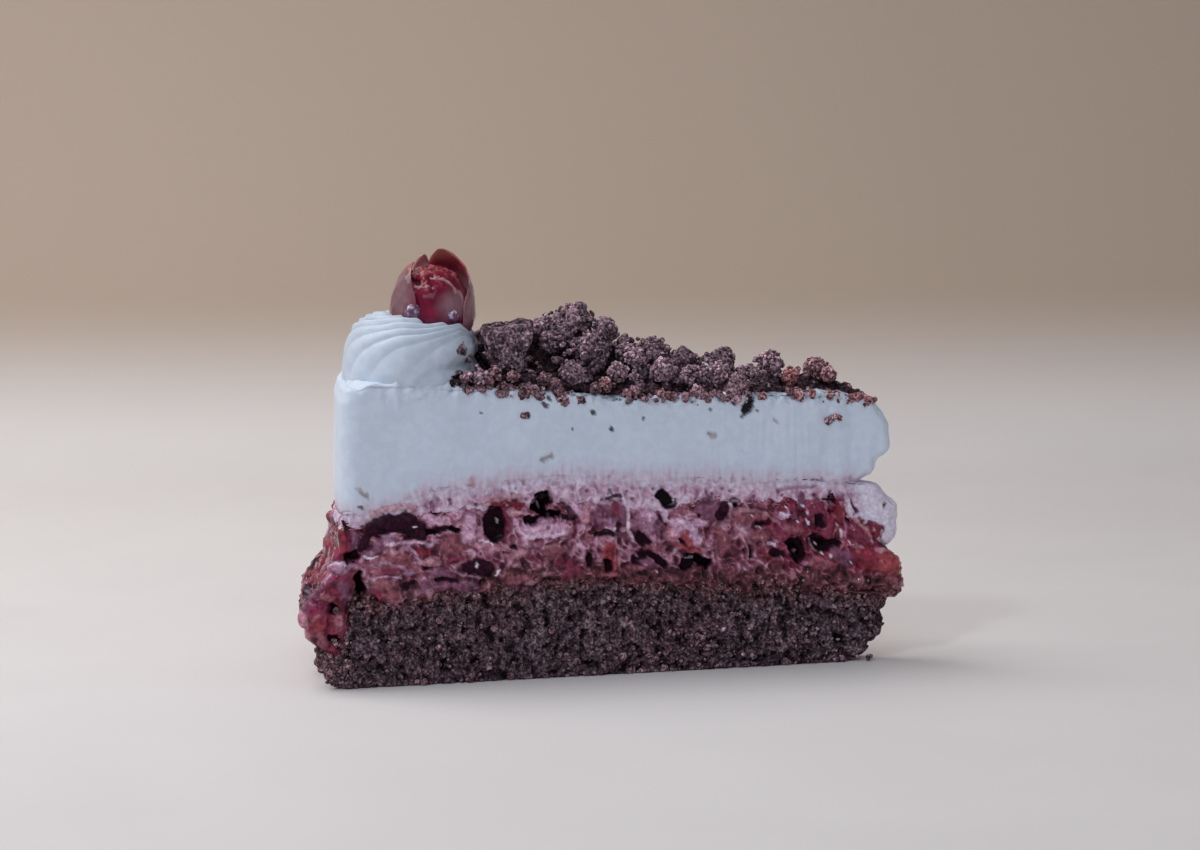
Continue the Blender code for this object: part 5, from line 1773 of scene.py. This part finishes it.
BESIDE_SHARE, FOOT_SHARE = 0.06, 0.08  # shares of them at the rim corner and at the foot


def make_bits(look):
    """Crumbs of sponge that hang loose on its front face, thickest along its edges."""
    place = draw.uniform(BITS_FROM, BITS_TO, BIT_COUNT)
    z = draw.uniform(0, BITS_TOP, BIT_COUNT)
    y = front_y(place, SPONGE_TIP_WIDTH) + draw.uniform(-0.1, 0.45, BIT_COUNT)
    beside = draw.random(BIT_COUNT) < BESIDE_SHARE
    place = np.where(beside, RIM_X + draw.uniform(-0.9, 1.5, BIT_COUNT), place)
    y = np.where(beside, front_y(place, SPONGE_TIP_WIDTH) + draw.uniform(0, 3, BIT_COUNT), y)
    z = np.where(beside, draw.uniform(0, 1, BIT_COUNT) ** 1.4 * 9, z)
    foot = draw.random(BIT_COUNT) < FOOT_SHARE
    z = np.where(foot, 0.5, z)
    y = np.where(foot, y - draw.uniform(0, 0.7, BIT_COUNT), y)
    sizes = 0.6 + 1.2 * draw.random(BIT_COUNT) ** 2.5
    places = np.stack([place, y, np.maximum(z, 0.5 * sizes)], 1)
    rust = draw.uniform(0, 0.3, BIT_COUNT)
    loose = crumbs(places, sizes, rust, level=2, clump=1.0, grain=0.6, painted_light=1)
    x, z, sizes = np.array(RIM_CRUMBS).T
    places = np.stack([x, front_y(x, SPONGE_TIP_WIDTH) + 0.5 * sizes, z], 1)
    rust = np.full(len(x), 0.3)
    hanging = crusted(places, sizes, rust, level=2, clump=1.2, grains=30)
    points, faces, paint = joined(loose, hanging)
    points[:, 2] = np.maximum(points[:, 2], 0)
    make_piece("sponge_bits", (points, faces, paint), look, "chocolate_sponge")


CHUNK_MIDDLE, CHUNK_HALF = (-20.3, -10.6, 72.2), (6.1, 4.6, 5.3)
CHUNK_SQUARE = 6  # 2 would be an oval, and more than this a box


def make_chunk(look):
    """A broken block of sponge with a flat torn face, wider at its top than at its foot."""
    unit, faces = ball(6)
    block = unit / np.sum(np.abs(unit) ** CHUNK_SQUARE, axis=1, keepdims=True) ** (1 / CHUNK_SQUARE)
    block[:, 0] *= 0.76 + 0.24 * block[:, 2]
    block[:, 2] *= 1 + 0.12 * block[:, 0]
    points = block * CHUNK_HALF
    height, tone = broken_crumb(points)
    # The face towards -Y is painted lighter, and the whole chunk lighter like the heap's crumbs: painted
    # light.
    facing = ease(-0.5, -0.9, block[:, 1])
    streaks = 0.25 * swells(points * (1, 1, 0.3) / 0.6)
    lit = 0.5 + 0.6 * (tone - 0.25) + streaks
    tone = np.clip(tone + (lit - tone) * facing, 0, 1)
    colour = crumb_tones(tone, np.full(len(points), 0.1)) * HEAP_PAINTED_LIGHT
    points = points + unit * (0.7 * height + 0.6 * swells(points / 4))[:, None] + CHUNK_MIDDLE
    shape = points, faces.tolist(), (colour, np.zeros(len(points)))
    make_piece("chunk", shape, look, "chocolate_crumbs", "sponge_chunk")


# ---------------------------------------------------------------- stage, light and camera

CAMERA_TURN, CAMERA_TILT, CAMERA_ROLL = -1.11, 6.75, -0.51  # degrees
CAMERA_DISTANCE = 800.0
CAMERA_TARGET = (0.0, 0.0, 53.43)
CAMERA_LENS = 107.8
CAMERA_NEAREST, CAMERA_FARTHEST = 0.01, 20.0  # metres


def add_camera():
    """A camera at the photograph's viewing angle."""
    turn, tilt, roll = (math.radians(angle) for angle in (CAMERA_TURN, CAMERA_TILT, CAMERA_ROLL))
    back = Vector((math.sin(turn) * math.cos(tilt), -math.cos(turn) * math.cos(tilt), math.sin(tilt)))
    right = (-back).cross(Vector((0, 0, 1))).normalized()
    up = right.cross(-back)
    rolled_right = right * math.cos(roll) + up * math.sin(roll)
    rolled_up = up * math.cos(roll) - right * math.sin(roll)
    camera = bpy.data.objects.new("camera", bpy.data.cameras.new("camera"))
    camera.data.lens = CAMERA_LENS
    camera.data.clip_start = CAMERA_NEAREST
    camera.data.clip_end = CAMERA_FARTHEST
    camera.matrix_world = Matrix((rolled_right, rolled_up, back)).transposed().to_4x4()
    camera.location = (Vector(CAMERA_TARGET) + back * CAMERA_DISTANCE) * MM
    bpy.context.scene.collection.objects.link(camera)
    bpy.context.scene.camera = camera


# Soft lamps, as (name, place and size in metres, watts, colour).
LAMPS = (
    ("key", (-0.35, 0.10, 0.62), (0.5, 0.5), 3.15, (1.0, 0.98, 0.96)),
    ("left", (-0.75, 0.05, 0.30), (0.4, 0.5), 0.34, (0.95, 0.98, 1.0)),
    ("right", (0.62, -0.45, 0.36), (0.4, 0.5), 0.34, (1.0, 0.98, 0.97)),
    ("front", (-0.25, -1.0, 0.95), (0.8, 0.5), 2.35, (0.86, 0.92, 1.0)),
    ("glint", (-0.45, -0.80, 0.75), (0.09, 0.09), 1.6, (0.92, 0.96, 1.0)),
)
LAMP_TARGET = Vector((0.0, 0.0, 0.04))
SKY_COLOUR, SKY_STRENGTH = (0.86, 0.90, 1.0, 1.0), 0.22


def add_lights():
    """The lamps, and an even pale sky."""
    for name, place, size, power, colour in LAMPS:
        light = bpy.data.lights.new(name, "AREA")
        light.shape = "RECTANGLE"
        light.size, light.size_y = size
        light.energy = power
        light.color = colour
        lamp = bpy.data.objects.new(name, light)
        lamp.location = place
        lamp.rotation_euler = (LAMP_TARGET - Vector(place)).to_track_quat("-Z", "Y").to_euler()
        bpy.context.scene.collection.objects.link(lamp)
    world = bpy.data.worlds.new("studio")
    world.use_nodes = True
    background = world.node_tree.nodes["Background"]
    background.inputs["Color"].default_value = SKY_COLOUR
    background.inputs["Strength"].default_value = SKY_STRENGTH
    bpy.context.scene.world = world
    bpy.context.scene.view_settings.view_transform = "Standard"


# The floor and the backdrop it curves up into, in metres.
FLOOR_FRONT, FLOOR_HALF_WIDTH = -3.0, 4.0
BACKDROP_NEAR, BACKDROP_ROUND, BACKDROP_TOP = 0.30, 0.20, 1.2
BACKDROP_STEPS = 12
FLOOR_COLOUR, FLOOR_COLOUR_2 = (0.78, 0.75, 0.75), (0.80, 0.77, 0.77)
BACKDROP_COLOUR, BACKDROP_FROM = (0.46, 0.365, 0.295), 0.05  # and how high up it has this colour


def add_stage():
    """A plain pale floor that curves up into a plain backdrop, which a camera behind it sees through."""
    profile = [(FLOOR_FRONT, 0.0), (BACKDROP_NEAR, 0.0)]
    for step in range(1, BACKDROP_STEPS + 1):
        angle = math.radians(90 * step / BACKDROP_STEPS)
        y = BACKDROP_NEAR + BACKDROP_ROUND * math.sin(angle)
        profile.append((y, BACKDROP_ROUND * (1 - math.cos(angle))))
    profile.append((BACKDROP_NEAR + BACKDROP_ROUND, BACKDROP_TOP))
    grid = bmesh.new()
    rows = [[grid.verts.new((x, y, z)) for x in (-FLOOR_HALF_WIDTH, FLOOR_HALF_WIDTH)] for y, z in profile]
    for (a, b), (c, d) in zip(rows, rows[1:]):
        grid.faces.new((a, b, d, c))
    mesh = bpy.data.meshes.new("floor")
    grid.to_mesh(mesh)
    grid.free()
    mesh.shade_smooth()
    look = Look("floor", Roughness=0.6, Specular_IOR_Level=0.2)
    pale = look.mix(look.span(look.noise(60.0), 0.3, 0.7), FLOOR_COLOUR, FLOOR_COLOUR_2)
    height = look.add("SeparateXYZ", {"Vector": look.place}).outputs["Z"]
    look.set(Base_Color=look.mix(look.span(height, 0.0, BACKDROP_FROM), pale, BACKDROP_COLOUR))
    look.clear_from_behind()
    mesh.materials.append(look.material)
    floor = bpy.data.objects.new("floor", mesh)
    bpy.context.scene.collection.objects.link(floor)


def main():
    """The whole scene. The order of the pieces sets the order of the random draws."""
    add_camera()
    add_lights()
    add_stage()
    make_sponge()
    make_filling()
    make_stained_cream()
    cream_look = painted_look(
        "cream", size=2.2, darkest=0.97, lightest=1.03, depth=0.08, dull=0.5, shine=0.35, soft=0.25
    )
    make_white_cream(cream_look)
    make_rosette(cream_look)
    make_cherry()
    crumb_look = painted_look("crumbs", size=0.6, darkest=0.3, lightest=1.9, depth=0.35, dull=0.95)
    make_crumbs(crumb_look)
    make_chunk(crumb_look)
    make_bits(crumb_look)


main()
